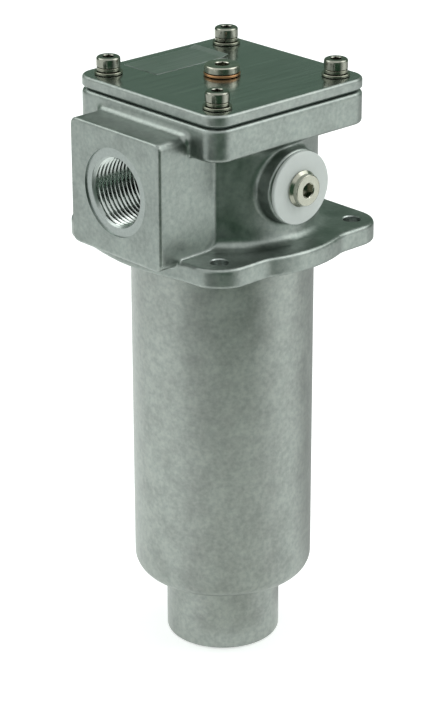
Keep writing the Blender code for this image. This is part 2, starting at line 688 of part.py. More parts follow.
def build_filler_plug(axis, copper, nickel):
    mesh = washer_mesh("copper_washer", COPPER_WASHER_RADIUS, FILLER_STEM_RADIUS + FIT_GAP,
                       COPPER_WASHER_THICKNESS, SMALL_SIDES)
    add_mesh_object("copper_washer", mesh, copper, axis, (0, 0, COVER_TOP_Z + SEAT_GAP))
    blank = plug_blank("filler_plug", FILLER_RADIUS, FILLER_THICKNESS, FILLER_STEM_RADIUS, FILLER_STEM_LENGTH)
    mesh = mesh_with_socket("filler_plug", blank, FILLER_SOCKET_WIDTH, FILLER_SOCKET_DEPTH, FILLER_THICKNESS)
    seat = COVER_TOP_Z + COPPER_WASHER_THICKNESS + 2 * SEAT_GAP
    add_mesh_object("filler_plug", mesh, nickel, axis, (0, 0, seat))


def build_rating_plate(axis, foil):
    """A thin blank plate along the cover's rear edge, clear of the screws."""
    half_width = PLATE_WIDTH / 2
    half_length = PLATE_LENGTH / 2
    outline = [(half_width, -half_length), (half_width, half_length),
               (-half_width, half_length), (-half_width, -half_length)]
    layers = [[(x, y, z) for x, y in outline] for z in (0, PLATE_THICKNESS)]
    x = PLATE_EDGE_MARGIN + (PLATE_WIDTH - SQUARE_WIDTH) / 2
    location = (x, 0, COVER_TOP_Z + SEAT_GAP)
    add_mesh_object("rating_plate", layered_mesh("rating_plate", layers), foil, axis, location)


def build_lower_cap(axis, steel):
    """The element's lower cap: a cup for the pleats and a grooved nozzle for the bowl's outlet."""
    rim = CAP_RADIUS - CAP_RIM_WALL
    groove = NOZZLE_RADIUS - NOZZLE_GROOVE_DEPTH
    groove_z = NOZZLE_GROOVE_HEIGHT - NOZZLE_LENGTH
    profile = [
        (rim, CAP_RIM_HEIGHT),
        (CAP_RADIUS, CAP_RIM_HEIGHT),
        (CAP_RADIUS, 0),
        (NOZZLE_RADIUS, 0),
        (NOZZLE_RADIUS, groove_z + NOZZLE_GROOVE_WIDTH),
        (groove, groove_z + NOZZLE_GROOVE_WIDTH),
        (groove, groove_z),
        (NOZZLE_RADIUS, groove_z),
        (NOZZLE_RADIUS, -NOZZLE_LENGTH),
        (NOZZLE_BORE_RADIUS, -NOZZLE_LENGTH),
        (NOZZLE_BORE_RADIUS, CAP_THICKNESS),
        (rim, CAP_THICKNESS),
    ]
    mesh = turned_mesh("element_lower_cap", profile, MEDIUM_SIDES)
    add_mesh_object("element_lower_cap", mesh, steel, axis, (0, 0, ELEMENT_Z))


def build_element_seal(axis, rubber):
    """The O-ring on the element's nozzle, against the bowl's outlet bore."""
    inner = NOZZLE_RADIUS - NOZZLE_GROOVE_DEPTH
    section = (OUTLET_RADIUS - inner) / 2 - SEAT_GAP
    height = ELEMENT_Z - NOZZLE_LENGTH + NOZZLE_GROOVE_HEIGHT + NOZZLE_GROOVE_WIDTH / 2
    mesh = ring_mesh("element_o_ring", (OUTLET_RADIUS + inner) / 2, section, MEDIUM_SIDES)
    add_mesh_object("element_o_ring", mesh, rubber, axis, (0, 0, height))


def build_upper_cap(axis, steel):
    """The element's upper cap, with the bypass seat inside a collar that guides the hold-down spring."""
    rim = CAP_RADIUS - CAP_RIM_WALL
    collar = HOLD_COIL_RADIUS - HOLD_WIRE_RADIUS - COIL_GUIDE_GAP
    profile = [
        (SEAT_RADIUS, SEAT_COLLAR_HEIGHT),
        (collar, SEAT_COLLAR_HEIGHT),
        (collar, 0),
        (CAP_RADIUS, 0),
        (CAP_RADIUS, -CAP_RIM_HEIGHT),
        (rim, -CAP_RIM_HEIGHT),
        (rim, -CAP_THICKNESS),
        (SEAT_RADIUS, -CAP_THICKNESS),
    ]
    mesh = turned_mesh("element_upper_cap", profile, MEDIUM_SIDES)
    add_mesh_object("element_upper_cap", mesh, steel, axis, (0, 0, ELEMENT_TOP_Z))


def offset_outline(points, distance):
    """Move a closed outline sideways, outwards for a counter-clockwise one, with mitred corners."""
    moved = []
    count = len(points)
    for index in range(count):
        before = Vector(points[index - 1])
        point = Vector(points[index])
        after = Vector(points[(index + 1) % count])
        first = (point - before).normalized()
        second = (after - point).normalized()
        normal = Vector((first.y + second.y, -first.x - second.x)).normalized()
        scale = normal.dot(Vector((first.y, -first.x)))
        moved.append(tuple(point + normal * distance / scale))
    return moved


def pleat_outline():
    """Middle line of the folded medium, with a short flat on every fold."""
    outer = CAP_RADIUS - CAP_RIM_WALL - FIT_GAP - MEDIUM_THICKNESS / 2
    inner = PLEAT_INNER_RADIUS + MEDIUM_THICKNESS / 2
    points = []
    for pleat in range(PLEAT_COUNT):
        for radius, share in ((outer, 0), (inner, 0.5)):
            middle = 2 * math.pi * (pleat + share) / PLEAT_COUNT
            half = PLEAT_FOLD_WIDTH / 2 / radius
            for angle in (middle - half, middle + half):
                points.append((radius * math.cos(angle), radius * math.sin(angle)))
    return points


def build_medium(axis, paper):
    """The pleated filter medium, a folded wall that closes on itself."""
    length = ELEMENT_LENGTH - 2 * CAP_THICKNESS - 2 * SEAT_GAP
    middle = pleat_outline()
    outside = offset_outline(middle, MEDIUM_THICKNESS / 2)
    inside = offset_outline(middle, -MEDIUM_THICKNESS / 2)
    bm = bmesh.new()
    loops = []
    for outline, height in ((outside, 0), (outside, length), (inside, length), (inside, 0)):
        loops.append([bm.verts.new((x, y, height)) for x, y in outline])
    for index, loop in enumerate(loops):
        following = loops[(index + 1) % len(loops)]
        for step, vertex in enumerate(loop):
            after = (step + 1) % len(loop)
            bm.faces.new((vertex, loop[after], following[after], following[step]))
    mesh = finish_mesh("element_medium", bm, smooth=False)
    location = (0, 0, ELEMENT_Z + CAP_THICKNESS + SEAT_GAP)
    add_mesh_object("element_medium", mesh, paper, axis, location)


def core_levels(length):
    """Heights of the edges between lands and windows of the core, from its lower end."""
    pitch = length / CORE_WINDOW_ROWS
    window = pitch * CORE_WINDOW_SHARE
    levels = [0]
    for row in range(CORE_WINDOW_ROWS):
        low = row * pitch + (pitch - window) / 2
        levels += [low, low + window]
    return levels + [length]


def build_core(axis, plastic):
    """The tube inside the pleats, with rows of windows that let the clean oil through."""
    length = ELEMENT_LENGTH - 2 * CAP_THICKNESS - 2 * SEAT_GAP
    sector = 2 * math.pi / CORE_WINDOW_COLUMNS
    angles = []
    for column in range(CORE_WINDOW_COLUMNS):
        angles += [column * sector, (column + CORE_WINDOW_SHARE) * sector]
    bm = bmesh.new()
    rings = []
    for height in core_levels(length):
        points = [(CORE_RADIUS * math.cos(angle), CORE_RADIUS * math.sin(angle), height) for angle in angles]
        rings.append([bm.verts.new(point) for point in points])
    for row, (lower, upper) in enumerate(zip(rings, rings[1:])):
        for column in range(len(angles)):
            is_window = row % 2 == 1 and column % 2 == 0
            if is_window:
                continue
            after = (column + 1) % len(angles)
            bm.faces.new((lower[column], lower[after], upper[after], upper[column]))
    mesh = finish_mesh("element_core", bm, smooth=False)
    location = (0, 0, ELEMENT_Z + CAP_THICKNESS + SEAT_GAP)
    core = add_mesh_object("element_core", mesh, plastic, axis, location)
    wall = core.modifiers.new("core wall", 'SOLIDIFY')
    wall.thickness = CORE_WALL
    wall.offset = -1


def build_bypass_cage(axis, plastic):
    """The cup under the upper cap that carries the bypass spring and guides the poppet's stem."""
    inner = CAGE_RADIUS - CAGE_WALL
    guide = POPPET_STEM_RADIUS + FIT_GAP
    profile = [
        (inner, 0),
        (CAGE_RADIUS, 0),
        (CAGE_RADIUS, -CAGE_LENGTH),
        (guide, -CAGE_LENGTH),
        (guide, CAGE_BASE - CAGE_LENGTH),
        (inner, CAGE_BASE - CAGE_LENGTH),
    ]
    mesh = turned_mesh("bypass_cage", profile, MEDIUM_SIDES)
    cage = add_mesh_object("bypass_cage", mesh, plastic, axis, (0, 0, CAGE_TOP_Z))
    half_width = CAGE_WINDOW_WIDTH / 2
    bottom = CAGE_BASE - CAGE_LENGTH + CAGE_RIM / 2
    start = inner - CAGE_WALL * 2
    end = CAGE_RADIUS + CAGE_WALL
    corners = [(start, -half_width), (end, -half_width), (end, half_width), (start, half_width)]
    layers = [[(x, y, z) for x, y in corners] for z in (bottom, -CAGE_RIM)]
    mesh = layered_mesh("cage_window", layers)
    for number in range(CAGE_WINDOW_COUNT):
        window = add_tool(f"cage_window_{number + 1}", mesh, axis, (0, 0, CAGE_TOP_Z))
        window.rotation_euler = (0, 0, 2 * math.pi * number / CAGE_WINDOW_COUNT)
        combine(cage, window, 'DIFFERENCE')


def build_bypass_poppet(axis, steel):
    """The valve disc with its stem; its origin is on its axis at the seat, and it opens downwards."""
    profile = [
        (0, 0),
        (SEAT_RADIUS + POPPET_LAP, 0),
        (SEAT_RADIUS + POPPET_LAP, -POPPET_THICKNESS),
        (POPPET_STEM_RADIUS, -POPPET_THICKNESS),
        (POPPET_STEM_RADIUS, -POPPET_STEM_LENGTH),
        (0, -POPPET_STEM_LENGTH),
    ]
    mesh = turned_mesh("bypass_poppet", profile, SMALL_SIDES)
    add_mesh_object("bypass_poppet", mesh, steel, axis, (0, 0, POPPET_Z))


def build_springs(axis, steel):
    """The bypass spring under the poppet and the hold-down spring under the cover."""
    low = CAGE_FLOOR_Z + SEAT_GAP
    length = POPPET_Z - POPPET_THICKNESS - SEAT_GAP - low
    mesh = coil_mesh("bypass_spring", BYPASS_COIL_RADIUS, BYPASS_WIRE_RADIUS, length, BYPASS_TURNS)
    add_mesh_object("bypass_spring", mesh, steel, axis, (0, 0, low))

    low = ELEMENT_TOP_Z + SEAT_GAP
    length = COVER_Z - SEAT_GAP - low
    mesh = coil_mesh("hold_down_spring", HOLD_COIL_RADIUS, HOLD_WIRE_RADIUS, length, HOLD_TURNS)
    add_mesh_object("hold_down_spring", mesh, steel, axis, (0, 0, low))


def build():
    clear_scene()
    axis = bpy.data.objects.new("filter_axis", None)
    axis.location = (0, AXIS_Y, 0)
    bpy.context.scene.collection.objects.link(axis)

    casting = make_material("cast_aluminium", (0.34, 0.38, 0.36), 0.9, 0.42)
    drawn = make_material("bowl_aluminium", (0.36, 0.39, 0.37), 0.9, 0.38)
    plate = make_material("cover_aluminium", (0.30, 0.36, 0.33), 0.9, 0.3)
    foil = make_material("rating_foil", (0.45, 0.47, 0.46), 0.8, 0.35)
    steel = make_material("plated_steel", (0.55, 0.56, 0.53), 1.0, 0.25)
    spring_steel = make_material("spring_steel", (0.35, 0.35, 0.36), 1.0, 0.3)
    cap_steel = make_material("tinned_steel", (0.5, 0.5, 0.5), 1.0, 0.4)
    nickel = make_material("nickel", (0.62, 0.6, 0.52), 1.0, 0.22)
    copper = make_material("copper", (0.5, 0.2, 0.06), 1.0, 0.35)
    nylon = make_material("white_nylon", (0.68, 0.72, 0.72), 0.0, 0.45)
    rubber = make_material("black_rubber", (0.02, 0.02, 0.02), 0.0, 0.7)
    fibre = make_material("gasket_fibre", (0.05, 0.07, 0.06), 0.0, 0.8)
    paper = make_material("filter_paper", (0.75, 0.68, 0.5), 0.0, 0.9)
    plastic = make_material("black_plastic", (0.04, 0.04, 0.04), 0.0, 0.5)

    build_bowl(axis, drawn)
    build_bowl_seal(axis, rubber)
    build_head(axis, casting)
    build_gauge_port(axis, nylon, nickel)
    build_gasket(axis, fibre)
    build_cover(axis, plate)
    build_cover_screws(axis, steel)
    build_filler_plug(axis, copper, nickel)
    build_rating_plate(axis, foil)
    build_lower_cap(axis, cap_steel)
    build_element_seal(axis, rubber)
    build_upper_cap(axis, cap_steel)
    build_medium(axis, paper)
    build_core(axis, plastic)
    build_bypass_cage(axis, plastic)
    build_bypass_poppet(axis, steel)
    build_springs(axis, spring_steel)


build()
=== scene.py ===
import math

import bmesh
import bpy
import numpy as np
from mathutils import Matrix, Vector


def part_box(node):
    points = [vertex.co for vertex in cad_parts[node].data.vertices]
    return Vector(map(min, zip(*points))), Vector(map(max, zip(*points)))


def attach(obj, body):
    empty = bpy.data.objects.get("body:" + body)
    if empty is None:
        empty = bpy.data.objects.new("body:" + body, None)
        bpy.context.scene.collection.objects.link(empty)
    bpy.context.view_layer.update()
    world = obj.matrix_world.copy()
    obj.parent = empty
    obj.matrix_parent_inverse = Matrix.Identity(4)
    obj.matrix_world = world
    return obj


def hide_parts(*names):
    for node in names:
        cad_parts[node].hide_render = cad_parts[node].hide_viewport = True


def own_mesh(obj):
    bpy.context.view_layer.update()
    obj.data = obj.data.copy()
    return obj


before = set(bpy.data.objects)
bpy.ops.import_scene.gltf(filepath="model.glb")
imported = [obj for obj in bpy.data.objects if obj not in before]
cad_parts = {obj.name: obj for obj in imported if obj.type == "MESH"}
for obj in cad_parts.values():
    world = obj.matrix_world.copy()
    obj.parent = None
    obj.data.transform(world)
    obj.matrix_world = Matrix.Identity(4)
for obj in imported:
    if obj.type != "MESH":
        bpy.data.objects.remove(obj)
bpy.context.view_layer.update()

MM = 0.001

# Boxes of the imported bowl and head, and the place of the filter's axis, in metres
BOWL_LOW, BOWL_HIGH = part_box("bowl")
HEAD_LOW, HEAD_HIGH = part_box("filter_head")
AXIS_Y = (BOWL_LOW.y + BOWL_HIGH.y) / 2

# From here on sizes and levels are in millimetres; X and Y count from the filter's axis

# Bowl
SPIGOT_RADIUS = 21.8
SPIGOT_LENGTH = 27.0
SPIGOT_EDGE = 1.2
OUTLET_RADIUS = 18.0
OUTLET_LENGTH = 32
BOWL_RADIUS = 34.0
BOWL_CORNER = 6.5
BOWL_WALL = 3.0
NECK_LENGTH = 13.0
NECK_RADIUS = 32.5
NECK_BORE = 29.5
GROOVE_RADIUS = 30.6
GROOVE_LOW = 2.0
GROOVE_HIGH = 4.8

# Head casting
BODY_RADIUS = 35.0
BODY_MIDDLE = 25
BODY_HALF_HEIGHT = 23.0
MOUNT_THICKNESS = 7.3
MOUNT_REACH_X = 43.8
MOUNT_REACH_Y = 42.5
MOUNT_DISC = 47.6
MOUNT_LOBE = 12.4
MOUNT_WAIST = 12.0
MOUNT_BULGE = 46.5
MOUNT_BULGE_END = 36
MOUNT_HOLE_MARGIN = 9.4
MOUNT_HOLE_RADIUS = 3.3
SQUARE_HALF = 38.0
SQUARE_CORNER = 7.5
SQUARE_THICKNESS = 12.1
BLOCK_HALF_WIDTH = 24.1
BLOCK_HEIGHT = 47.0
BLOCK_DROP = 24.1
BLOCK_BACK = -15.0
BLOCK_CORNER = 3.0
BOSS_RADIUS = 13.9
BOSS_MIDDLE = 27.4
BOSS_HALF_LENGTH = 12.4
GAUGE_BORE = 4.9
CHAMBER_RADIUS = 30
SEAT_RADIUS = 32.8
RECESS_RADIUS = 34.3
RECESS_DEPTH = 0.6
SCREW_HALF = 29.0
SCREW_BORE = 2.7
SCREW_HOLE_DEPTH = 13

# Rounding of the casting's edges, and the fillets where its forms meet
MOUNT_TOP_EDGE = 1.5
MOUNT_LOW_EDGE = 0.75
SQUARE_TOP_EDGE = 1.6
SQUARE_LOW_EDGE = 1.2
BLOCK_EDGE = 0.9
BOSS_EDGE = 0.8
BULGE_FILLET = 6.0
MOUNT_FILLET = 4.5
SQUARE_FILLET = 2.5
BOSS_FILLET = 1.6
BLOCK_FILLET = 0.6
BLOCK_FILLET_GROWTH = 2.4
BLOCK_FILLET_GROWTH_HEIGHT = 4

# Inlet port
PORT_HEIGHT = 28.7
PORT_REACH = 51.7
PORT_CHAMFER = 1.05
SPOTFACE_RADIUS = 16.3
SPOTFACE_DEPTH = 0.6
THREAD_CREST = 12.06
THREAD_PITCH = 1.814
THREAD_DEPTH = 1.16
THREAD_LENGTH = 26.0

# Cover, screws, plugs and washers
SEAT_GAP = 0.2
COVER_THICKNESS = 3.9
FLAT_WASHER = 1.0
SPRING_WASHER = 1.2
SCREW_HEAD_RADIUS = 4.4
SCREW_HEAD_HEIGHT = 3.7
COPPER_WASHER = 1.0
COPPER_WASHER_RADIUS = 6.75
FILLER_BORE = 5
FILLER_RADIUS = 6.5
FILLER_HEIGHT = 2.6
GAUGE_WASHER = 1.5
GAUGE_WASHER_X = 40.0
GAUGE_PLUG_X = 41.7
GAUGE_PLUG_RADIUS = 6.7
GAUGE_PLUG_HEIGHT = 3.3

# Rating plate
PLATE_THICKNESS = 0.1
PLATE_BEND_LENGTH = 3.0
PLATE_BEND_SLOPE = 0.25

# Levels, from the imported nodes
BOWL_TOP_Z = BOWL_HIGH.z / MM
HEAD_Z = HEAD_LOW.z / MM
HEAD_TOP_Z = HEAD_HIGH.z / MM
PORT_Z = HEAD_Z + PORT_HEIGHT
COVER_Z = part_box("cover_gasket")[1].z / MM + SEAT_GAP
COVER_TOP_Z = COVER_Z + COVER_THICKNESS

# Corners in the order in which holes are cut, and counterclockwise, as the screws are numbered
HOLE_CORNERS = ((-1, -1), (-1, 1), (1, -1), (1, 1))
SCREW_CORNERS = ((1, 1), (-1, 1), (-1, -1), (1, -1))

# Edges sharper than this many degrees stay sharp in the shading
SHARP_ANGLE = 32

# Most of a noise texture lies between these values
NOISE_LOW = 0.3
NOISE_HIGH = 0.7


# Materials

def new_material(name, colour, metallic, roughness):
    material = bpy.data.materials.new(name)
    material.use_nodes = True
    shader = material.node_tree.nodes["Principled BSDF"]
    shader.inputs["Base Color"].default_value = (*colour, 1)
    shader.inputs["Metallic"].default_value = metallic
    shader.inputs["Roughness"].default_value = roughness
    return material, material.node_tree, shader


def place_noise(tree, scale, stretch=(1, 1, 1), detail=3):
    """Noise in the piece's own coordinates, stretched along its axes."""
    nodes, links = tree.nodes, tree.links
    coordinates = nodes.new("ShaderNodeTexCoord")
    mapping = nodes.new("ShaderNodeMapping")
    mapping.inputs["Scale"].default_value = stretch
    noise = nodes.new("ShaderNodeTexNoise")
    noise.inputs["Scale"].default_value = scale
    noise.inputs["Detail"].default_value = detail
    noise.inputs["Roughness"].default_value = 0.55
    links.new(coordinates.outputs["Object"], mapping.inputs["Vector"])
    links.new(mapping.outputs["Vector"], noise.inputs["Vector"])
    return noise.outputs["Fac"]


def to_range(tree, value, low, high, start=NOISE_LOW, end=NOISE_HIGH):
    """Map a value from start and end to low and high, and hold it there beyond them."""
    scale = tree.nodes.new("ShaderNodeMapRange")
    scale.inputs["From Min"].default_value = start
    scale.inputs["From Max"].default_value = end
    scale.inputs["To Min"].default_value = low
    scale.inputs["To Max"].default_value = high
    tree.links.new(value, scale.inputs["Value"])
    return scale.outputs["Result"]


def colour_range(tree, value, dark, light):
    """Colour that goes from dark to light with a noise."""
    ramp = tree.nodes.new("ShaderNodeValToRGB")
    ramp.color_ramp.elements[0].position = NOISE_LOW
    ramp.color_ramp.elements[0].color = (*dark, 1)
    ramp.color_ramp.elements[1].position = NOISE_HIGH
    ramp.color_ramp.elements[1].color = (*light, 1)
    tree.links.new(value, ramp.inputs["Fac"])
    return ramp.outputs["Color"]


def add_bump(tree, shader, layers):
    """Chain bump nodes; each layer is (height, strength, distance in metres)."""
    normal = None
    for height, strength, distance in layers:
        bump = tree.nodes.new("ShaderNodeBump")
        bump.inputs["Strength"].default_value = strength
        bump.inputs["Distance"].default_value = distance
        tree.links.new(height, bump.inputs["Height"])
        if normal is not None:
            tree.links.new(normal, bump.inputs["Normal"])
        normal = bump.outputs["Normal"]
    tree.links.new(normal, shader.inputs["Normal"])


def tinted(colour, factor):
    return tuple(min(channel * factor, 1) for channel in colour)


def cast_material(name, colour, roughness, mottle, grain, grain_strength):
    """Cast or drawn metal: fine grain in the surface and slow mottling of tone."""
    material, tree, shader = new_material(name, colour, 1.0, roughness)
    slow = place_noise(tree, mottle, detail=4)
    fine = place_noise(tree, grain, detail=2)
    specks = place_noise(tree, mottle * 5, detail=3)
    tone = colour_range(tree, slow, tinted(colour, 0.84), tinted(colour, 1.12))
    worn = tree.nodes.new("ShaderNodeMix")
    worn.data_type = 'RGBA'
    worn.blend_type = 'MULTIPLY'
    worn.inputs["Factor"].default_value = 1
    tree.links.new(tone, worn.inputs["A"])
    speckle = colour_range(tree, specks, (0.86, 0.87, 0.86), (1.12, 1.1, 1.08))
    tree.links.new(speckle, worn.inputs["B"])
    tree.links.new(worn.outputs["Result"], shader.inputs["Base Color"])
    tree.links.new(to_range(tree, slow, roughness - 0.05, roughness + 0.06), shader.inputs["Roughness"])
    layers = [(slow, 0.15, 0.3 * MM), (specks, 0.12, 0.1 * MM), (fine, grain_strength, 0.06 * MM)]
    add_bump(tree, shader, layers)
    return material


def brushed_material(name, colour, roughness, stretch, strength, tone_spread=0.08):
    """Metal with straight marks, long along the axis whose stretch is small."""
    material, tree, shader = new_material(name, colour, 1.0, roughness)
    marks = place_noise(tree, 1000, stretch, detail=3)
    slow = place_noise(tree, 45, detail=3)
    tone = colour_range(tree, marks, tinted(colour, 1 - tone_spread), tinted(colour, 1 + tone_spread))
    tree.links.new(tone, shader.inputs["Base Color"])
    tree.links.new(to_range(tree, slow, roughness - 0.04, roughness + 0.05), shader.inputs["Roughness"])
    add_bump(tree, shader, [(marks, strength, 0.02 * MM)])
    return material


def plated_material(name, colour, roughness):
    """Bright plating with slight stains and very fine marks."""
    material, tree, shader = new_material(name, colour, 1.0, roughness)
    stains = place_noise(tree, 350, detail=4)
    fine = place_noise(tree, 2500, detail=2)
    tone = colour_range(tree, stains, tinted(colour, 0.85), tinted(colour, 1.08))
    tree.links.new(tone, shader.inputs["Base Color"])
    tree.links.new(to_range(tree, stains, roughness - 0.05, roughness + 0.1), shader.inputs["Roughness"])
    add_bump(tree, shader, [(fine, 0.12, 0.02 * MM)])
    return material


def matt_material(name, colour, roughness, grain, strength, spread=0.12):
    """Plastic, rubber, fibre or paper with a grain of its own."""
    material, tree, shader = new_material(name, colour, 0.0, roughness)
    fine = place_noise(tree, grain, detail=4)
    slow = place_noise(tree, grain / 12, detail=3)
    tone = colour_range(tree, slow, tinted(colour, 1 - spread), tinted(colour, 1 + spread))
    tree.links.new(tone, shader.inputs["Base Color"])
    grained = to_range(tree, fine, roughness - 0.06, min(roughness + 0.06, 1))
    tree.links.new(grained, shader.inputs["Roughness"])
    add_bump(tree, shader, [(fine, strength, 0.05 * MM)])
    return material


CAST = cast_material("cast_aluminium", (0.31, 0.35, 0.33), 0.36, 120, 900, 0.35)
MACHINED = brushed_material("machined_aluminium", (0.37, 0.41, 0.39), 0.32, (1, 1, 1), 0.15)
THREAD = brushed_material("cut_thread", (0.58, 0.63, 0.6), 0.2, (1, 1, 1), 0.04)
DRAWN = cast_material("bowl_aluminium", (0.33, 0.362, 0.342), 0.38, 110, 700, 0.3)
# Sides and rounded edges of the cover: a rougher sawn finish, and a colour darker than the cover's top, which
# is painted shade that dims their sheen
SAWN_AND_SHADED = cast_material("cover_edge_sawn_and_shaded", (0.34, 0.38, 0.36), 0.4, 150, 1200, 0.25)
COVER = brushed_material("cover_aluminium", (0.42, 0.46, 0.44), 0.2, (1, 0.03, 1), 0.2, 0.16)
FOIL = brushed_material("rating_foil", (0.46, 0.5, 0.48), 0.3, (1, 0.05, 1), 0.3, 0.12)
ZINC = plated_material("plated_steel", (0.31, 0.32, 0.27), 0.14)
WASHER = plated_material("washer_steel", (0.27, 0.28, 0.22), 0.22)
NICKEL = plated_material("nickel", (0.43, 0.435, 0.365), 0.17)
COPPER = plated_material("copper", (0.42, 0.23, 0.11), 0.28)
TINNED = plated_material("tinned_steel", (0.5, 0.5, 0.48), 0.34)
SPRING = plated_material("spring_steel", (0.33, 0.33, 0.33), 0.3)
NYLON = matt_material("white_nylon", (0.66, 0.71, 0.68), 0.42, 900, 0.1, 0.04)
RUBBER = matt_material("black_rubber", (0.02, 0.02, 0.02), 0.6, 1500, 0.3)
FIBRE = matt_material("gasket_fibre", (0.1, 0.14, 0.12), 0.8, 1200, 0.5)
PAPER = matt_material("filter_paper", (0.72, 0.62, 0.42), 0.85, 700, 0.6)
PLASTIC = matt_material("black_plastic", (0.03, 0.03, 0.03), 0.45, 1200, 0.25)
nylon_shader = NYLON.node_tree.nodes["Principled BSDF"]
nylon_shader.inputs["Subsurface Weight"].default_value = 0.15
nylon_shader.inputs["Subsurface Radius"].default_value = (0.002, 0.002, 0.002)


# Mesh tools

def finished_mesh(name, bm, angle=SHARP_ANGLE):
    """Turn the work in millimetres into a mesh in metres, shaded smooth between its sharp edges."""
    bmesh.ops.recalc_face_normals(bm, faces=bm.faces)
    bm.transform(Matrix.Scale(MM, 4))
    mesh = bpy.data.meshes.new(name)
    bm.to_mesh(mesh)
    bm.free()
    mesh.shade_smooth()
    mesh.set_sharp_from_angle(angle=math.radians(angle))
    return mesh


def turned(name, profile, sides, angle=SHARP_ANGLE):
    """Revolve a closed profile of (radius, height) points around Z."""
    bm = bmesh.new()
    rings = []
    for radius, height in profile:
        if radius == 0:
            rings.append([bm.verts.new((0, 0, height))])
            continue
        turns = [2 * math.pi * step / sides for step in range(sides)]
        rings.append([bm.verts.new((radius * math.cos(a), radius * math.sin(a), height)) for a in turns])
    for ring, following in zip(rings, rings[1:] + rings[:1]):
        if len(ring) == 1 and len(following) == 1:
            continue
        for step in range(sides):
            after = (step + 1) % sides
            corners = [ring[step % len(ring)], following[step % len(following)],
                       following[after % len(following)], ring[after % len(ring)]]
            unique = list(dict.fromkeys(corners))
            bm.faces.new(unique)
    return finished_mesh(name, bm, angle)


def arc(centre, radius, start, end, steps):
    """Points of an arc, its angles in degrees."""
    points = []
    for step in range(steps + 1):
        angle = math.radians(start + (end - start) * step / steps)
        points.append((centre[0] + radius * math.cos(angle), centre[1] + radius * math.sin(angle)))
    return points


def rounded_square(half, radius):
    """Outline of a square with rounded corners, counterclockwise."""
    steps = 10
    points = []
    for quarter, (side_x, side_y) in enumerate(SCREW_CORNERS):
        centre = (side_x * (half - radius), side_y * (half - radius))
        points += arc(centre, radius, quarter * 90, quarter * 90 + 90, steps)
    return points


def layered(name, layers, angle=SHARP_ANGLE):
    """Skin over loops of points that have equal counts, with a face on each end."""
    bm = bmesh.new()
    loops = [[bm.verts.new(point) for point in layer] for layer in layers]
    for lower, upper in zip(loops, loops[1:]):
        for index, vertex in enumerate(lower):
            after = (index + 1) % len(lower)
            bm.faces.new((vertex, lower[after], upper[after], upper[index]))
    bm.faces.new(loops[0])
    bm.faces.new(loops[-1])
    return finished_mesh(name, bm, angle)


def square_plate(name, half, radius, bottom, top, bottom_round, top_round, steps):
    """A square plate with rounded corners and rounded edges."""
    def loop(edge, angle, height):
        inset = edge * (1 - math.sin(angle))
        return [(x, y, height) for x, y in rounded_square(half - inset, radius - inset)]

    angles = [math.pi / 2 * step / steps for step in range(steps + 1)]
    layers = [loop(bottom_round, angle, bottom + bottom_round * (1 - math.cos(angle))) for angle in angles]
    angles.reverse()
    layers += [loop(top_round, angle, top - top_round * (1 - math.cos(angle))) for angle in angles]
    return layered(name, layers)


def linked(name, mesh):
    """An object with this mesh, in the scene."""
    item = bpy.data.objects.new(name, mesh)
    bpy.context.scene.collection.objects.link(item)
    return item


def mend(mesh):
    """Close the hair cracks that a cut can leave."""
    bm = bmesh.new()
    bm.from_mesh(mesh)
    bmesh.ops.remove_doubles(bm, verts=bm.verts, dist=1e-7)
    lone = [face for face in bm.faces if all(len(edge.link_faces) == 1 for edge in face.edges)]
    bmesh.ops.delete(bm, geom=lone, context='FACES')
    bmesh.ops.holes_fill(bm, edges=[edge for edge in bm.edges if len(edge.link_faces) == 1], sides=6)
    bm.to_mesh(mesh)
    bm.free()


def cut(mesh, cutters, sharp_by_angle=True):
    """Subtract cutter meshes from a mesh; what they cut takes the material slot of their faces."""
    target = linked("target", mesh)
    tools = []
    for cutter in cutters:
        tool = linked("cutter", cutter)
        modifier = target.modifiers.new("cut", 'BOOLEAN')
        modifier.operation = 'DIFFERENCE'
        modifier.solver = 'EXACT'
        modifier.object = tool
        tools.append(tool)
    depsgraph = bpy.context.evaluated_depsgraph_get()
    result = bpy.data.meshes.new_from_object(target.evaluated_get(depsgraph))
    result.name = mesh.name
    mend(result)
    for item in [target] + tools:
        bpy.data.objects.remove(item, do_unlink=True)
    if sharp_by_angle:
        result.shade_smooth()
        result.set_sharp_from_angle(angle=math.radians(SHARP_ANGLE))
    return result


def merged(name, meshes):
    """Join meshes that don't touch into one."""
    bm = bmesh.new()
    for mesh in meshes:
        bm.from_mesh(mesh)
    result = bpy.data.meshes.new(name)
    bm.to_mesh(result)
    bm.free()
    return result


def moved(mesh, matrix):
    """A copy of the mesh, moved by a matrix in millimetres."""
    result = mesh.copy()
    place = matrix.copy()
    place.translation = place.translation * MM
    result.transform(place)
    return result


TOWARDS_PORT = Matrix.Rotation(math.pi / 2, 4, 'X')
TOWARDS_GAUGE = Matrix.Rotation(math.pi / 2, 4, 'Y')


def at(x, y, z):
    return Matrix.Translation((x, y, z))


def add_piece(name, mesh, materials, replaced):
    """Put a finished mesh on the filter's axis as a piece of the housing, in place of a node."""
    piece = linked(name, mesh)
    # Slots are filled in place, because clearing them would reset the faces' slot numbers
    for index, material in enumerate(materials if isinstance(materials, tuple) else (materials,)):
        if index < len(mesh.materials):
            mesh.materials[index] = material
        else:
            mesh.materials.append(material)
    piece.location = (0, AXIS_Y, 0)
    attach(piece, "housing")
    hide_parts(replaced)
    return piece


# The casting is a distance field, so that its forms run into each other with cast fillets

def round_union(a, b, radius):
    """Join two distance fields with a fillet."""
    reach_a = np.maximum(radius - a, 0)
    reach_b = np.maximum(radius - b, 0)
    return np.maximum(radius, np.minimum(a, b)) - np.hypot(reach_a, reach_b)


def rounded_plate_field(across, along, edge):
    """A flat form with its edge rounded; across and along are distances to its outline and its faces."""
    a = across + edge
    b = along + edge
    return np.minimum(np.maximum(a, b), 0) + np.hypot(np.maximum(a, 0), np.maximum(b, 0)) - edge


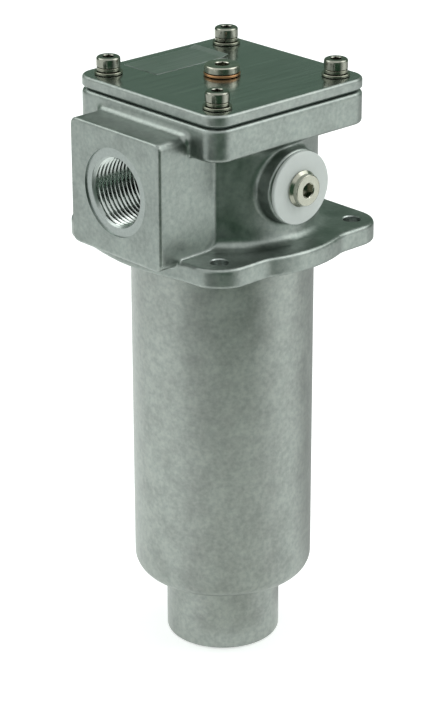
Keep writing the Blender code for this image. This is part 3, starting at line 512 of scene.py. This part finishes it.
def rounded_rectangle_field(u, v, half_u, half_v, radius):
    """Distance to a rectangle with rounded corners."""
    a = np.abs(u) - half_u + radius
    b = np.abs(v) - half_v + radius
    return np.minimum(np.maximum(a, b), 0) + np.hypot(np.maximum(a, 0), np.maximum(b, 0)) - radius


def mount_outline_field(x, y):
    """Distance to the mounting flange's outline, a rounded rectangle that discs swell beside and in front."""
    a, b = np.abs(x), np.abs(y)
    waist_x = MOUNT_REACH_X + MOUNT_WAIST
    waist_y = math.sqrt((MOUNT_DISC + MOUNT_WAIST) ** 2 - waist_x ** 2)
    on_disc = np.hypot(a, b) - MOUNT_DISC
    on_waist = MOUNT_WAIST - np.hypot(a - waist_x, b - waist_y)
    result = rounded_rectangle_field(x, y, MOUNT_REACH_X, MOUNT_REACH_Y, MOUNT_LOBE)
    result = np.where((b < waist_y) & (a > MOUNT_REACH_X - MOUNT_LOBE), on_waist, result)
    result = np.where(b * waist_x < a * waist_y, on_disc, result)
    under_block = np.maximum(np.hypot(x, y) - MOUNT_BULGE, y + MOUNT_BULGE_END)
    return round_union(result, under_block, BULGE_FILLET)


def head_field(points):
    """Distance to the skin of the casting, before anything is machined."""
    x, y, z = points[..., 0], points[..., 1], points[..., 2]
    middle = HEAD_Z + BODY_MIDDLE
    body = np.maximum(np.hypot(x, y) - BODY_RADIUS, np.abs(z - middle) - BODY_HALF_HEIGHT)

    middle = HEAD_Z + MOUNT_THICKNESS / 2
    edge = np.where(z > middle, MOUNT_TOP_EDGE, MOUNT_LOW_EDGE)
    mount = rounded_plate_field(mount_outline_field(x, y), np.abs(z - middle) - MOUNT_THICKNESS / 2, edge)

    middle = HEAD_TOP_Z - SQUARE_THICKNESS / 2
    edge = np.where(z > middle, SQUARE_TOP_EDGE, SQUARE_LOW_EDGE)
    across = rounded_rectangle_field(x, y, SQUARE_HALF, SQUARE_HALF, SQUARE_CORNER)
    square = rounded_plate_field(across, np.abs(z - middle) - SQUARE_THICKNESS / 2, edge)

    block_z = PORT_Z - BLOCK_DROP + BLOCK_HEIGHT / 2
    across = rounded_rectangle_field(x, z - block_z, BLOCK_HALF_WIDTH, BLOCK_HEIGHT / 2, BLOCK_CORNER)
    middle = (BLOCK_BACK - PORT_REACH) / 2
    block = rounded_plate_field(across, np.abs(y - middle) - (PORT_REACH + BLOCK_BACK) / 2, BLOCK_EDGE)

    across = np.hypot(y, z - PORT_Z) - BOSS_RADIUS
    boss = rounded_plate_field(across, np.abs(x - BOSS_MIDDLE) - BOSS_HALF_LENGTH, BOSS_EDGE)

    flanges = round_union(round_union(body, mount, MOUNT_FILLET), square, SQUARE_FILLET)
    block_top = block_z + BLOCK_HEIGHT / 2
    growth = np.clip((z - block_top + BLOCK_FILLET_GROWTH_HEIGHT) / BLOCK_FILLET_GROWTH_HEIGHT, 0, 1)
    result = round_union(flanges, block, BLOCK_FILLET + BLOCK_FILLET_GROWTH * growth)
    return round_union(result, boss, BOSS_FILLET)


def slopes(field, points):
    """Gradient of the field at the points."""
    step = 0.02
    result = np.empty_like(points)
    for axis in range(3):
        offset = np.zeros(3)
        offset[axis] = step
        result[:, axis] = (field(points + offset) - field(points - offset)) / (2 * step)
    return result


def field_mesh(name, field, low, high, step):
    """Surface nets: one point in each cell that the surface crosses, then pulled onto the surface."""
    axes = [np.arange(low[axis], high[axis] + step, step) for axis in range(3)]
    grid = np.stack(np.meshgrid(*axes, indexing="ij"), axis=-1)
    values = field(grid)
    inside = values < 0
    corners = [(i, j, k) for i in (0, 1) for j in (0, 1) for k in (0, 1)]
    shape = [size - 1 for size in values.shape]

    def corner(array, offset):
        i, j, k = offset
        return array[i:i + shape[0], j:j + shape[1], k:k + shape[2]]

    count = sum(corner(inside, offset).astype(np.int8) for offset in corners)
    mixed = (count > 0) & (count < 8)
    index = np.full(mixed.shape, -1)
    index[mixed] = np.arange(mixed.sum())
    cells = np.argwhere(mixed)
    total = np.zeros((len(cells), 3))
    crossings = np.zeros(len(cells))
    for first in corners:
        for axis in range(3):
            if first[axis] == 1:
                continue
            second = list(first)
            second[axis] = 1
            a = corner(values, first)[mixed]
            b = corner(values, tuple(second))[mixed]
            crossed = (a < 0) != (b < 0)
            share = np.where(crossed, a / np.where(crossed, a - b, 1), 0)
            place = np.array(first, float) + share[:, None] * (np.array(second) - np.array(first))
            total += place * crossed[:, None]
            crossings += crossed
    points = np.array(low) + step * (cells + total / crossings[:, None])

    quads = []
    for axis in range(3):
        u, v = [other for other in range(3) if other != axis]
        size = list(values.shape)
        first = [slice(1, -1)] * 3
        first[axis] = slice(0, size[axis] - 1)
        second = [slice(1, -1)] * 3
        second[axis] = slice(1, size[axis])
        a = inside[tuple(first)]
        b = inside[tuple(second)]
        where = np.argwhere(a != b)
        flip = a[tuple(where.T)]
        base = where.copy()
        base[:, u] += 1
        base[:, v] += 1
        ring = []
        for du, dv in ((-1, -1), (0, -1), (0, 0), (-1, 0)):
            cell = base.copy()
            cell[:, u] += du
            cell[:, v] += dv
            ring.append(index[tuple(cell.T)])
        ring = np.stack(ring, axis=1)
        if axis == 1:
            flip = ~flip
        ring[~flip] = ring[~flip][:, ::-1]
        quads.append(ring)
    quads = np.concatenate(quads)

    def pull(points, rounds):
        for _ in range(rounds):
            slope = slopes(field, points)
            length = np.maximum((slope ** 2).sum(axis=1), 0.2)
            points = points - slope * (field(points) / length)[:, None]
        return points

    starts = quads.ravel()
    ends = np.roll(quads, -1, axis=1).ravel()
    both_starts = np.concatenate([starts, ends])
    both_ends = np.concatenate([ends, starts])
    degree = np.maximum(np.bincount(both_starts, minlength=len(points)), 1)
    points = pull(points, 2)
    for _ in range(3):
        average = np.stack([np.bincount(both_starts, points[both_ends, axis], len(points)) / degree
                            for axis in range(3)], axis=1)
        slope = slopes(field, points)
        slope /= np.maximum(np.linalg.norm(slope, axis=1), 0.1)[:, None]
        shift = average - points
        shift -= slope * (shift * slope).sum(axis=1)[:, None]
        points = pull(points + 0.5 * shift, 2)
    mesh = bpy.data.meshes.new(name)
    mesh.from_pydata((points * MM).tolist(), [], quads.tolist())
    mesh.shade_smooth()
    return mesh


def port_cutter():
    """Spotface, lead-in chamfer and pipe thread of the inlet, turned around Z with its mouth upwards."""
    sides = 96
    steps = 8
    crest_share, flank_share = 0.12, 0.76
    seat = PORT_REACH - SPOTFACE_DEPTH
    count = int(THREAD_LENGTH / THREAD_PITCH * steps)
    bm = bmesh.new()
    angles = [2 * math.pi * side / sides for side in range(sides)]

    def ring(radii, height):
        return [bm.verts.new((r * math.cos(a), r * math.sin(a), height)) for r, a in zip(radii, angles)]

    def thread_radius(angle, down):
        """Truncated V groove that climbs one pitch a turn."""
        turn = (down / THREAD_PITCH + angle / (2 * math.pi)) % 1
        flank = 1 - abs(2 * turn - 1)
        return THREAD_CREST + THREAD_DEPTH * min(max((flank - crest_share) / flank_share, 0), 1)

    rings = [ring([SPOTFACE_RADIUS] * sides, seat + 6), ring([SPOTFACE_RADIUS] * sides, seat)]
    mouth = THREAD_CREST + PORT_CHAMFER
    for step in range(count + 1):
        down = step * THREAD_PITCH / steps
        radii = [max(mouth - down, thread_radius(angle, down)) for angle in angles]
        rings.append(ring(radii, seat - down))
    for outer, inner in zip(rings, rings[1:]):
        for side in range(sides):
            after = (side + 1) % sides
            bm.faces.new((outer[side], outer[after], inner[after], inner[side]))
    bm.faces.new(rings[0])
    bm.faces.new(rings[-1])
    return finished_mesh("port_cutter", bm)


def mark_slot(mesh, slot):
    """Give all faces one material slot."""
    for polygon in mesh.polygons:
        polygon.material_index = slot
    return mesh


def mark_cut_edges(mesh, angle):
    """Sharp edges where a cut meets the cast skin, and between machined faces at an angle."""
    bm = bmesh.new()
    bm.from_mesh(mesh)
    limit = math.radians(angle)
    for edge in bm.edges:
        edge.smooth = True
        if len(edge.link_faces) != 2:
            continue
        first, second = edge.link_faces
        cast_faces = (first.material_index == 0) + (second.material_index == 0)
        if cast_faces == 1 or (cast_faces == 0 and edge.calc_face_angle(0) > limit):
            edge.smooth = False
    bm.to_mesh(mesh)
    bm.free()


def head_cutters():
    """Bore, port, gauge bore and holes; their faces carry the machined slot, or the thread's."""
    above = HEAD_TOP_Z + 6
    below = HEAD_Z - 6
    seat_z = HEAD_Z + RECESS_DEPTH
    ledge_z = BOWL_TOP_Z + 0.3
    profile = [(0, above), (CHAMBER_RADIUS, above), (CHAMBER_RADIUS, ledge_z), (SEAT_RADIUS, ledge_z)]
    profile += [(SEAT_RADIUS, seat_z), (RECESS_RADIUS, seat_z), (RECESS_RADIUS, below), (0, below)]
    bore = turned("bore", profile, 128)
    port = moved(port_cutter(), at(0, 0, PORT_Z) @ TOWARDS_PORT)
    gauge = turned("gauge", [(0, 44), (GAUGE_BORE, 44), (GAUGE_BORE, 0), (0, 0)], 32)
    gauge = moved(gauge, at(0, 0, PORT_Z) @ TOWARDS_GAUGE)

    mount_top = HEAD_Z + MOUNT_THICKNESS
    profile = [(0, mount_top + 3), (6.7, mount_top + 3), (MOUNT_HOLE_RADIUS, mount_top - 0.4)]
    profile += [(MOUNT_HOLE_RADIUS, below), (0, below)]
    mount_hole = turned("hole", profile, 32)
    end = HEAD_TOP_Z - SCREW_HOLE_DEPTH
    screw_hole = turned("screw_hole", [(0, above), (SCREW_BORE, above), (SCREW_BORE, end), (0, end)], 24)
    hole_x = MOUNT_REACH_X - MOUNT_HOLE_MARGIN
    hole_y = MOUNT_REACH_Y - MOUNT_HOLE_MARGIN
    holes = []
    for x, y in HOLE_CORNERS:
        holes.append(moved(mount_hole, at(x * hole_x, y * hole_y, 0)))
        holes.append(moved(screw_hole, at(x * SCREW_HALF, y * SCREW_HALF, 0)))

    cutters = [mark_slot(mesh, 1) for mesh in (bore, port, gauge, merged("holes", holes))]
    for polygon in port.polygons:
        place = polygon.center / MM
        behind_chamfer = place.y > 1.5 - PORT_REACH
        if behind_chamfer and math.hypot(place.x, place.z - PORT_Z) < THREAD_CREST + 1.6:
            polygon.material_index = 2
    return cutters


def build_head():
    low = (-49.5, -53.7, HEAD_Z - 2.1)
    high = (49.5, 49.5, HEAD_TOP_Z + 2.1)
    skin = field_mesh("filter_head_casting", head_field, low, high, 0.75)
    cutters = head_cutters()
    materials = (CAST, MACHINED, THREAD)
    for mesh in [skin] + cutters:
        for material in materials:
            mesh.materials.append(material)
    head = cut(skin, cutters, sharp_by_angle=False)
    mark_cut_edges(head, 28)
    add_piece("filter_head_casting", head, materials, "filter_head")


def build_bowl():
    shoulder = BOWL_TOP_Z - NECK_LENGTH
    top = shoulder + NECK_LENGTH
    groove_low = shoulder + GROOVE_LOW
    groove_high = shoulder + GROOVE_HIGH
    inner = BOWL_RADIUS - BOWL_WALL
    corner = (BOWL_RADIUS - BOWL_CORNER, SPIGOT_LENGTH + BOWL_CORNER)
    profile = [(NECK_BORE, top), (NECK_RADIUS - 0.8, top), (NECK_RADIUS, top - 0.8)]
    profile += [(NECK_RADIUS, groove_high), (GROOVE_RADIUS, groove_high)]
    profile += [(GROOVE_RADIUS, groove_low), (NECK_RADIUS, groove_low)]
    profile += [(NECK_RADIUS, shoulder), (BOWL_RADIUS - 0.3, shoulder), (BOWL_RADIUS, shoulder - 0.3)]
    profile += arc(corner, BOWL_CORNER, 0, -82, 12)
    profile += arc((SPIGOT_RADIUS + SPIGOT_EDGE, SPIGOT_LENGTH - 1.0), SPIGOT_EDGE, 90, 180, 4)
    profile += arc((SPIGOT_RADIUS - SPIGOT_EDGE, SPIGOT_EDGE), SPIGOT_EDGE, 0, -90, 5)
    profile += [(OUTLET_RADIUS + 0.5, 0), (OUTLET_RADIUS, 0.5), (OUTLET_RADIUS, OUTLET_LENGTH)]
    profile += arc((inner - 3.5, OUTLET_LENGTH + 3.5), 3.5, -90, 0, 5)
    profile += [(inner, shoulder - 12), (NECK_BORE, shoulder - 6)]
    add_piece("bowl_shell", turned("bowl_shell", profile, 144, 30), DRAWN, "bowl")


def hex_cutter(width, depth, mouth, face):
    """Hexagonal socket with a lead-in cone, around Z, going down from the level of a head's face."""
    radius = width / math.sqrt(3)
    prism = turned("hex", [(0, 2), (radius, 2), (radius, -depth), (0, -depth - 0.8)], 6)
    cone = turned("cone", [(0, 0.3), (mouth + 0.3, 0.3), (mouth - 0.3, -0.3), (0, -0.3)], 36)
    return [moved(tool, at(0, 0, face)) for tool in (prism, cone)]


def build_cover():
    mesh = square_plate("cover_lid", SQUARE_HALF, SQUARE_CORNER, COVER_Z, COVER_TOP_Z, 0.4, 1.1, 6)
    above = COVER_TOP_Z + 1
    below = COVER_Z - 1
    holes = []
    for x, y in HOLE_CORNERS:
        hole = turned("hole", [(0, above), (SCREW_BORE, above), (SCREW_BORE, below), (0, below)], 32)
        holes.append(moved(hole, at(x * SCREW_HALF, y * SCREW_HALF, 0)))
    below = COVER_Z - 9
    holes.append(turned("hole", [(0, above), (FILLER_BORE, above), (FILLER_BORE, below), (0, below)], 48))
    top = COVER_Z + 0.01
    end = COVER_Z - 5
    profile = [(FILLER_BORE, top), (11.1, top), (11.1, COVER_Z - 4.4), (10.5, end), (FILLER_BORE, end)]
    boss = turned("cover_boss", profile, 64)
    mesh = cut(mesh, [merged("holes", holes)])
    mesh = merged("cover_lid", [mesh, boss])
    mesh.shade_smooth()
    mesh.set_sharp_from_angle(angle=math.radians(SHARP_ANGLE))
    # Faces that don't point straight up or down take the second material, whose darker colour is painted
    # shade on the cover's sides and edges
    for polygon in mesh.polygons:
        polygon.material_index = int(abs(polygon.normal.z) < 0.97)
    add_piece("cover_lid", mesh, (COVER, SAWN_AND_SHADED), "cover_plate")


def split_ring(name, inner, outer, thickness, split):
    """A split washer whose section has small chamfers; its cut is at an angle."""
    steps = 44
    edge = 0.15
    section = [(inner + edge, 0), (outer - edge, 0), (outer, edge), (outer, thickness - edge),
               (outer - edge, thickness), (inner + edge, thickness), (inner, thickness - edge), (inner, edge)]
    layers = []
    for step in range(steps + 1):
        layer = []
        for radius, height in section:
            slant = math.radians(10) * (height / thickness - 0.5)
            angle = split / 2 + slant + (2 * math.pi - split) * step / steps
            layer.append((radius * math.cos(angle), radius * math.sin(angle), height))
        layers.append(layer)
    return layered(name, layers)


def build_cover_screws():
    flat_z = COVER_TOP_Z + SEAT_GAP
    spring_z = flat_z + (FLAT_WASHER + SEAT_GAP)
    seat_z = spring_z + (SPRING_WASHER + SEAT_GAP)
    radius, height = SCREW_HEAD_RADIUS, SCREW_HEAD_HEIGHT
    profile = [(0, height)] + arc((radius - 0.9, height - 0.9), 0.9, 90, 0, 5)
    profile += [(radius, 0.2), (4.2, 0), (2.4, 0), (2.4, -15.5), (1.9, -16), (0, -16)]
    screw = cut(turned("screw", profile, 48), hex_cutter(4.0, 2.2, 2.34, height))
    profile = [(5.2, 0.15), (5.2, 0.8), (5.0, FLAT_WASHER)]
    profile += [(SCREW_BORE, FLAT_WASHER), (SCREW_BORE, 0), (5.05, 0)]
    flat = turned("flat", profile, 48)
    turns = (200, 310, 75, 20)
    for number, ((x, y), turn) in enumerate(zip(SCREW_CORNERS, turns), 1):
        x, y = x * SCREW_HALF, y * SCREW_HALF
        spin = Matrix.Rotation(math.radians(turn), 4, 'Z')
        ring = split_ring("ring", SCREW_BORE, 4.3, SPRING_WASHER, math.radians(9))
        stack = (
            ("flat_washer", moved(flat, at(x, y, flat_z)), WASHER, "washer_steel"),
            ("spring_washer", moved(ring, at(x, y, spring_z) @ spin), WASHER, "washer_steel"),
            ("cover_screw", moved(screw, at(x, y, seat_z) @ spin), ZINC, "screw_steel"),
        )
        for kind, mesh, material, slot in stack:
            add_piece(f"{kind}_{number}_fine", mesh, material, f"{kind}_{number}")


def build_filler_plug():
    low = COVER_TOP_Z + SEAT_GAP
    edge = 0.45
    profile = arc((COPPER_WASHER_RADIUS - edge, edge), edge, -90, 0, 4)
    profile += arc((COPPER_WASHER_RADIUS - edge, 0.55), edge, 0, 90, 4)
    profile += [(FILLER_BORE, COPPER_WASHER), (FILLER_BORE, 0)]
    washer = moved(turned("washer", profile, 64), at(0, 0, low))
    add_piece("copper_washer_fine", washer, COPPER, "copper_washer")
    radius, height = FILLER_RADIUS, FILLER_HEIGHT
    profile = [(0, height)] + arc((radius - 0.7, height - 0.7), 0.7, 90, 0, 5)
    profile += [(radius, 0.2), (6.3, 0), (4.7, 0), (4.7, -7.6), (4.3, -8), (0, -8)]
    plug = cut(turned("plug", profile, 64), hex_cutter(5.0, 3.4, 2.92, height))
    spin = Matrix.Rotation(math.radians(12), 4, 'Z')
    plug = moved(plug, at(0, 0, low + (COPPER_WASHER + SEAT_GAP)) @ spin)
    add_piece("filler_plug_fine", plug, NICKEL, "filler_plug")


def build_gauge_plug():
    gauge = at(0, 0, PORT_Z) @ TOWARDS_GAUGE
    profile = arc((13.0, 1.0), 0.5, 0, 90, 4) + [(GAUGE_BORE, GAUGE_WASHER), (GAUGE_BORE, 0)]
    profile += arc((13.2, 0.3), 0.3, -90, 0, 2)
    disc = moved(turned("disc", profile, 96), gauge @ at(0, 0, GAUGE_WASHER_X))
    add_piece("gauge_washer_fine", disc, NYLON, "gauge_washer")
    radius, height = GAUGE_PLUG_RADIUS, GAUGE_PLUG_HEIGHT
    profile = [(0, height)] + arc((5.4, 2.95), 0.35, 90, 0, 3)
    profile += [(5.75, 1.5), (radius, 0.5), (radius, 0.15), (6.5, 0)]
    profile += [(4.6, 0), (4.6, -8.6), (4.2, -9), (0, -9)]
    plug = cut(turned("plug", profile, 64), hex_cutter(5.0, 3.2, 2.92, height))
    plug = moved(plug, gauge @ at(0, 0, GAUGE_PLUG_X))
    add_piece("gauge_plug_fine", plug, NICKEL, "gauge_plug")


def build_rating_plate():
    """A blank foil that lies on the cover; the end towards the back has come up a little."""
    low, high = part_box("rating_plate")
    x = (low.x + high.x) / 2 / MM
    half_x = (high.x - low.x) / 2 / MM
    half_y = (high.y - low.y) / 2 / MM
    base = COVER_TOP_Z + 0.03
    bend = half_y - PLATE_BEND_LENGTH
    steps = 6
    rows = [(-half_y, 0), (-half_y * 0.5, 0), (0, 0), (bend - 0.6, 0), (bend, 0.02)]
    for step in range(1, steps + 1):
        rise = 0.02 + PLATE_BEND_SLOPE * PLATE_BEND_LENGTH * (step / steps)
        rows.append((bend + PLATE_BEND_LENGTH * step / steps, rise))
    layers = []
    for y, rise in rows:
        z = base + rise
        section = [(x - half_x, z), (x - half_x, z + PLATE_THICKNESS), (x + half_x, z + PLATE_THICKNESS),
                   (x + half_x, z)]
        layers.append([(side, y, height) for side, height in section])
    add_piece("rating_plate_fine", layered("plate", layers, 20), FOIL, "rating_plate")


def coil(coil_radius, wire, low, high, turns):
    """A compression spring with one closed turn at each end."""
    steps = 36
    sides = 12
    end_gap = 0.2
    closed = 2 * wire + end_gap
    length = high - low
    rise = length - 2 * wire - 2 * closed
    layers = []
    for step in range(turns * steps + 1):
        turn = step / steps
        angle = 2 * math.pi * turn
        height = low + wire + min(turn, 1) * closed
        height += rise * min(max(turn - 1, 0), turns - 2) / (turns - 2) + max(turn - turns + 1, 0) * closed
        layer = []
        for side in range(sides):
            around = 2 * math.pi * side / sides
            radius = coil_radius + wire * math.cos(around)
            z = height + wire * math.sin(around)
            layer.append((radius * math.cos(angle), radius * math.sin(angle), z))
        layers.append(layer)
    return layered("coil", layers, 50)


def build_springs():
    low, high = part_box("hold_down_spring")
    mesh = coil(13.0, 1.0, low.z / MM, high.z / MM, 4)
    add_piece("hold_down_spring_fine", mesh, SPRING, "hold_down_spring")
    low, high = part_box("bypass_spring")
    mesh = coil(6.0, 0.6, low.z / MM, high.z / MM, 6)
    spring = add_piece("bypass_spring_fine", mesh, SPRING, "bypass_spring")
    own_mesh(spring)


def build_upper_cap():
    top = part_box("element_upper_cap")[1].z / MM - 1.5
    profile = [(9, top + 1.5), (11.1, top + 1.5), (11.1, top)] + arc((25, top - 1), 1, 90, 0, 4)
    profile += [(26, top - 6), (25, top - 6), (25, top - 1.6), (9, top - 1.6)]
    add_piece("element_upper_cap_fine", turned("cap", profile, 96), TINNED, "element_upper_cap")


def dress_nodes():
    """Materials for the nodes that keep their own mesh."""
    finishes = {
        "cover_gasket": FIBRE,
        "bowl_o_ring": RUBBER,
        "element_o_ring": RUBBER,
        "element_lower_cap": TINNED,
        "element_medium": PAPER,
        "element_core": PLASTIC,
        "bypass_cage": PLASTIC,
        "bypass_poppet": TINNED,
    }
    for node, material in finishes.items():
        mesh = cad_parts[node].data
        for index in range(len(mesh.materials)):
            mesh.materials[index] = material


# Camera, light and studio; lengths are in metres again

# White of the floor and of the screens' open ends, as the metal mirrors it
MIRRORED_WHITE = (0.985, 1.0, 0.99)


def aim(item, target):
    """Point a camera or a lamp at a place."""
    direction = Vector(target) - item.location
    item.rotation_euler = direction.to_track_quat('-Z', 'Y').to_euler()


def add_camera():
    """Camera of the photograph, from a fit to its outlines."""
    picture_height = 703
    data = bpy.data.cameras.new("camera")
    data.sensor_fit = 'VERTICAL'
    data.sensor_height = 36
    data.lens = 128.8
    data.shift_x = -10.47 / picture_height
    data.shift_y = -2.97 / picture_height
    data.clip_start = 0.05
    data.clip_end = 20
    camera = bpy.data.objects.new("camera", data)
    bpy.context.scene.collection.objects.link(camera)
    camera.location = (642.77 * MM, -593.55 * MM + AXIS_Y, 483.28 * MM)
    aim(camera, (0, AXIS_Y, 116.9 * MM))
    camera.rotation_euler.rotate_axis('Z', math.radians(-0.1))
    bpy.context.scene.camera = camera


def add_light(name, place):
    """A square soft box that looks at the filter's middle."""
    data = bpy.data.lights.new(name, 'AREA')
    data.shape = 'RECTANGLE'
    data.size = 1.5
    data.size_y = 1.5
    data.energy = 12.5
    light = bpy.data.objects.new(name, data)
    bpy.context.scene.collection.objects.link(light)
    light.location = place
    aim(light, (0, 0, 0.12))


def seen_by_camera_or_mirror(tree):
    """One where a ray comes straight from the camera or from metal or glass."""
    path = tree.nodes.new("ShaderNodeLightPath")
    first = tree.nodes.new("ShaderNodeMath")
    first.operation = 'MAXIMUM'
    second = tree.nodes.new("ShaderNodeMath")
    second.operation = 'MAXIMUM'
    tree.links.new(path.outputs["Is Camera Ray"], first.inputs[0])
    tree.links.new(path.outputs["Is Glossy Ray"], first.inputs[1])
    tree.links.new(first.outputs[0], second.inputs[0])
    tree.links.new(path.outputs["Is Transmission Ray"], second.inputs[1])
    return second.outputs[0]


def build_world():
    """Soft light all around, and a white background for the camera and for what mirrors it."""
    world = bpy.data.worlds.new("studio")
    bpy.context.scene.world = world
    world.use_nodes = True
    tree = world.node_tree
    ambient = tree.nodes["Background"]
    ambient.inputs["Color"].default_value = (0.97, 1.0, 0.985, 1)
    ambient.inputs["Strength"].default_value = 0.55
    shown = tree.nodes.new("ShaderNodeBackground")
    shown.inputs["Color"].default_value = (0.965, 0.98, 0.975, 1)
    shown.inputs["Strength"].default_value = 1.0
    mix = tree.nodes.new("ShaderNodeMixShader")
    tree.links.new(seen_by_camera_or_mirror(tree), mix.inputs["Fac"])
    tree.links.new(ambient.outputs[0], mix.inputs[1])
    tree.links.new(shown.outputs[0], mix.inputs[2])
    tree.links.new(mix.outputs[0], tree.nodes["World Output"].inputs["Surface"])


def build_floor():
    """Pale floor that keeps the shadow; its glow shows only to the camera and in the metal."""
    bm = bmesh.new()
    bmesh.ops.create_circle(bm, cap_ends=True, radius=6.0, segments=64)
    mesh = bpy.data.meshes.new("floor")
    bm.to_mesh(mesh)
    bm.free()
    floor = linked("floor", mesh)
    floor.location = (0, 0, -0.0002)
    material = bpy.data.materials.new("floor")
    material.use_nodes = True
    tree = material.node_tree
    shader = tree.nodes["Principled BSDF"]
    shader.inputs["Base Color"].default_value = (0.86, 0.88, 0.87, 1)
    shader.inputs["Roughness"].default_value = 0.9
    shader.inputs["Specular IOR Level"].default_value = 0.1
    shine = tree.nodes.new("ShaderNodeMath")
    shine.operation = 'MULTIPLY'
    shine.inputs[1].default_value = 0.5
    tree.links.new(seen_by_camera_or_mirror(tree), shine.inputs[0])
    shader.inputs["Emission Color"].default_value = (*MIRRORED_WHITE, 1)
    tree.links.new(shine.outputs[0], shader.inputs["Emission Strength"])
    mesh.materials.append(material)


def screen_mesh(name, reach, near, far, height):
    """Floor sector from near to far and a wall at its end, spanning reach degrees to both sides of X."""
    floor_steps, wall_steps, turn_steps = 12, 8, 32
    low = 0.002 if near > 0.1 else 0.001
    rows = [(far, low)]
    if near < far:
        rows = [(near + (far - near) * step / floor_steps, low) for step in range(floor_steps + 1)]
    rows += [(far, low + height * step / wall_steps) for step in range(1, wall_steps + 1)]
    bm = bmesh.new()
    grid = []
    for step in range(turn_steps + 1):
        angle = math.radians(-reach + 2 * reach * step / turn_steps)
        line = [(radius * math.cos(angle), radius * math.sin(angle), z) for radius, z in rows]
        grid.append([bm.verts.new(point) for point in line])
    for first, second in zip(grid, grid[1:]):
        for index in range(len(rows) - 1):
            bm.faces.new((first[index], second[index], second[index + 1], first[index + 1]))
    mesh = bpy.data.meshes.new(name)
    bm.to_mesh(mesh)
    bm.free()
    return mesh


def set_stops(ramp, stops):
    """Give a ramp these stops, as (position, colour) pairs."""
    while len(ramp.elements) < len(stops):
        ramp.elements.new(0.5)
    for element, (position, colour) in zip(ramp.elements, stops):
        element.position = position
        element.color = (*colour, 1)


def screen_material(name, half, reach, height, shades):
    """Glow that takes its shades in the middle and turns white towards the sides and the wall's top."""
    ramp_length = 2
    material = bpy.data.materials.new(name)
    material.use_nodes = True
    tree = material.node_tree
    nodes, links = tree.nodes, tree.links
    coordinates = nodes.new("ShaderNodeTexCoord")
    around = nodes.new("ShaderNodeTexGradient")
    around.gradient_type = 'RADIAL'
    links.new(coordinates.outputs["Object"], around.inputs["Vector"])
    side = nodes.new("ShaderNodeValToRGB")
    side.color_ramp.interpolation = 'EASE'
    stops = [(-reach, 1), (-half, 0), (half, 0), (reach, 1)]
    set_stops(side.color_ramp, [(0.5 + angle / 360, (value, value, value)) for angle, value in stops])
    links.new(around.outputs["Fac"], side.inputs["Fac"])
    split = nodes.new("ShaderNodeSeparateXYZ")
    links.new(coordinates.outputs["Object"], split.inputs[0])
    rise = to_range(tree, split.outputs["Z"], 0, 1, height * 0.7, height)
    open_share = nodes.new("ShaderNodeMath")
    open_share.operation = 'MAXIMUM'
    links.new(side.outputs["Color"], open_share.inputs[0])
    links.new(rise, open_share.inputs[1])
    distance = nodes.new("ShaderNodeVectorMath")
    distance.operation = 'LENGTH'
    links.new(coordinates.outputs["Object"], distance.inputs[0])
    shade = nodes.new("ShaderNodeValToRGB")
    set_stops(shade.color_ramp, [(place / ramp_length, colour) for place, colour in shades])
    along = to_range(tree, distance.outputs["Value"], 0, 1, 0, ramp_length)
    links.new(along, shade.inputs["Fac"])
    mix = nodes.new("ShaderNodeMix")
    mix.data_type = 'RGBA'
    mix.inputs["B"].default_value = (*MIRRORED_WHITE, 1)
    links.new(open_share.outputs[0], mix.inputs["Factor"])
    links.new(shade.outputs["Color"], mix.inputs["A"])
    glow = nodes.new("ShaderNodeEmission")
    links.new(mix.outputs["Result"], glow.inputs["Color"])
    links.new(glow.outputs[0], nodes["Material Output"].inputs["Surface"])
    nodes.remove(nodes["Principled BSDF"])
    return material


def mirror_screen(name, middle, half, fade, near, far, height, shades):
    """Floor sector and wall that only show in the metal, as dark things around a photographer's table do.

    Angles are in degrees around the filter's axis; shades are (distance, colour) pairs along the floor.
    """
    reach = half + fade
    screen = linked(name, screen_mesh(name, reach, near, far, height))
    screen.data.materials.append(screen_material(name, half, reach, height, shades))
    screen.location = (0, AXIS_Y, 0)
    screen.rotation_euler = (0, 0, math.radians(middle))
    screen.visible_camera = False
    screen.visible_shadow = False
    screen.visible_diffuse = False


def plain(colour):
    """The same shade at every distance."""
    return [(0, colour), (2, colour)]


bpy.context.scene.view_settings.view_transform = 'Standard'
add_camera()
build_head()
build_bowl()
build_cover()
build_cover_screws()
build_filler_plug()
build_gauge_plug()
build_rating_plate()
build_springs()
build_upper_cap()
dress_nodes()
build_world()
build_floor()
mirror_screen("ring_screen", 137.3, 62, 34, 1.7, 1.7, 2.4, plain((0.143, 0.211, 0.164)))
mirror_screen("left_screen", -137, 22, 16, 0.33, 1.5, 0.02, plain((0.97, 1.0, 0.99)))
mirror_screen("front_screen", -30.7, 22, 34, 0.03, 1.5, 1.2,
              [(0, (0.72, 0.75, 0.71)), (0.08, (0.82, 0.85, 0.81)), (0.2, (0.95, 0.98, 0.95)),
               (0.33, (0.9, 0.93, 0.89)), (0.37, (0.01, 0.06, 0.02)), (0.56, (0.01, 0.06, 0.02)),
               (0.66, (0.05, 0.11, 0.07)), (2, (0.05, 0.11, 0.07))])
mirror_screen("port_screen", -76, 14, 7, 0.38, 1.4, 0.02, plain((0.01, 0.04, 0.02)))
mirror_screen("side_screen", 102, 20, 26, 0.03, 1.5, 0.02, plain((0.6, 0.62, 0.61)))
add_light("key", (-1.34, -0.8, 1.2))
add_light("side", (0.76, 1.17, 1.27))
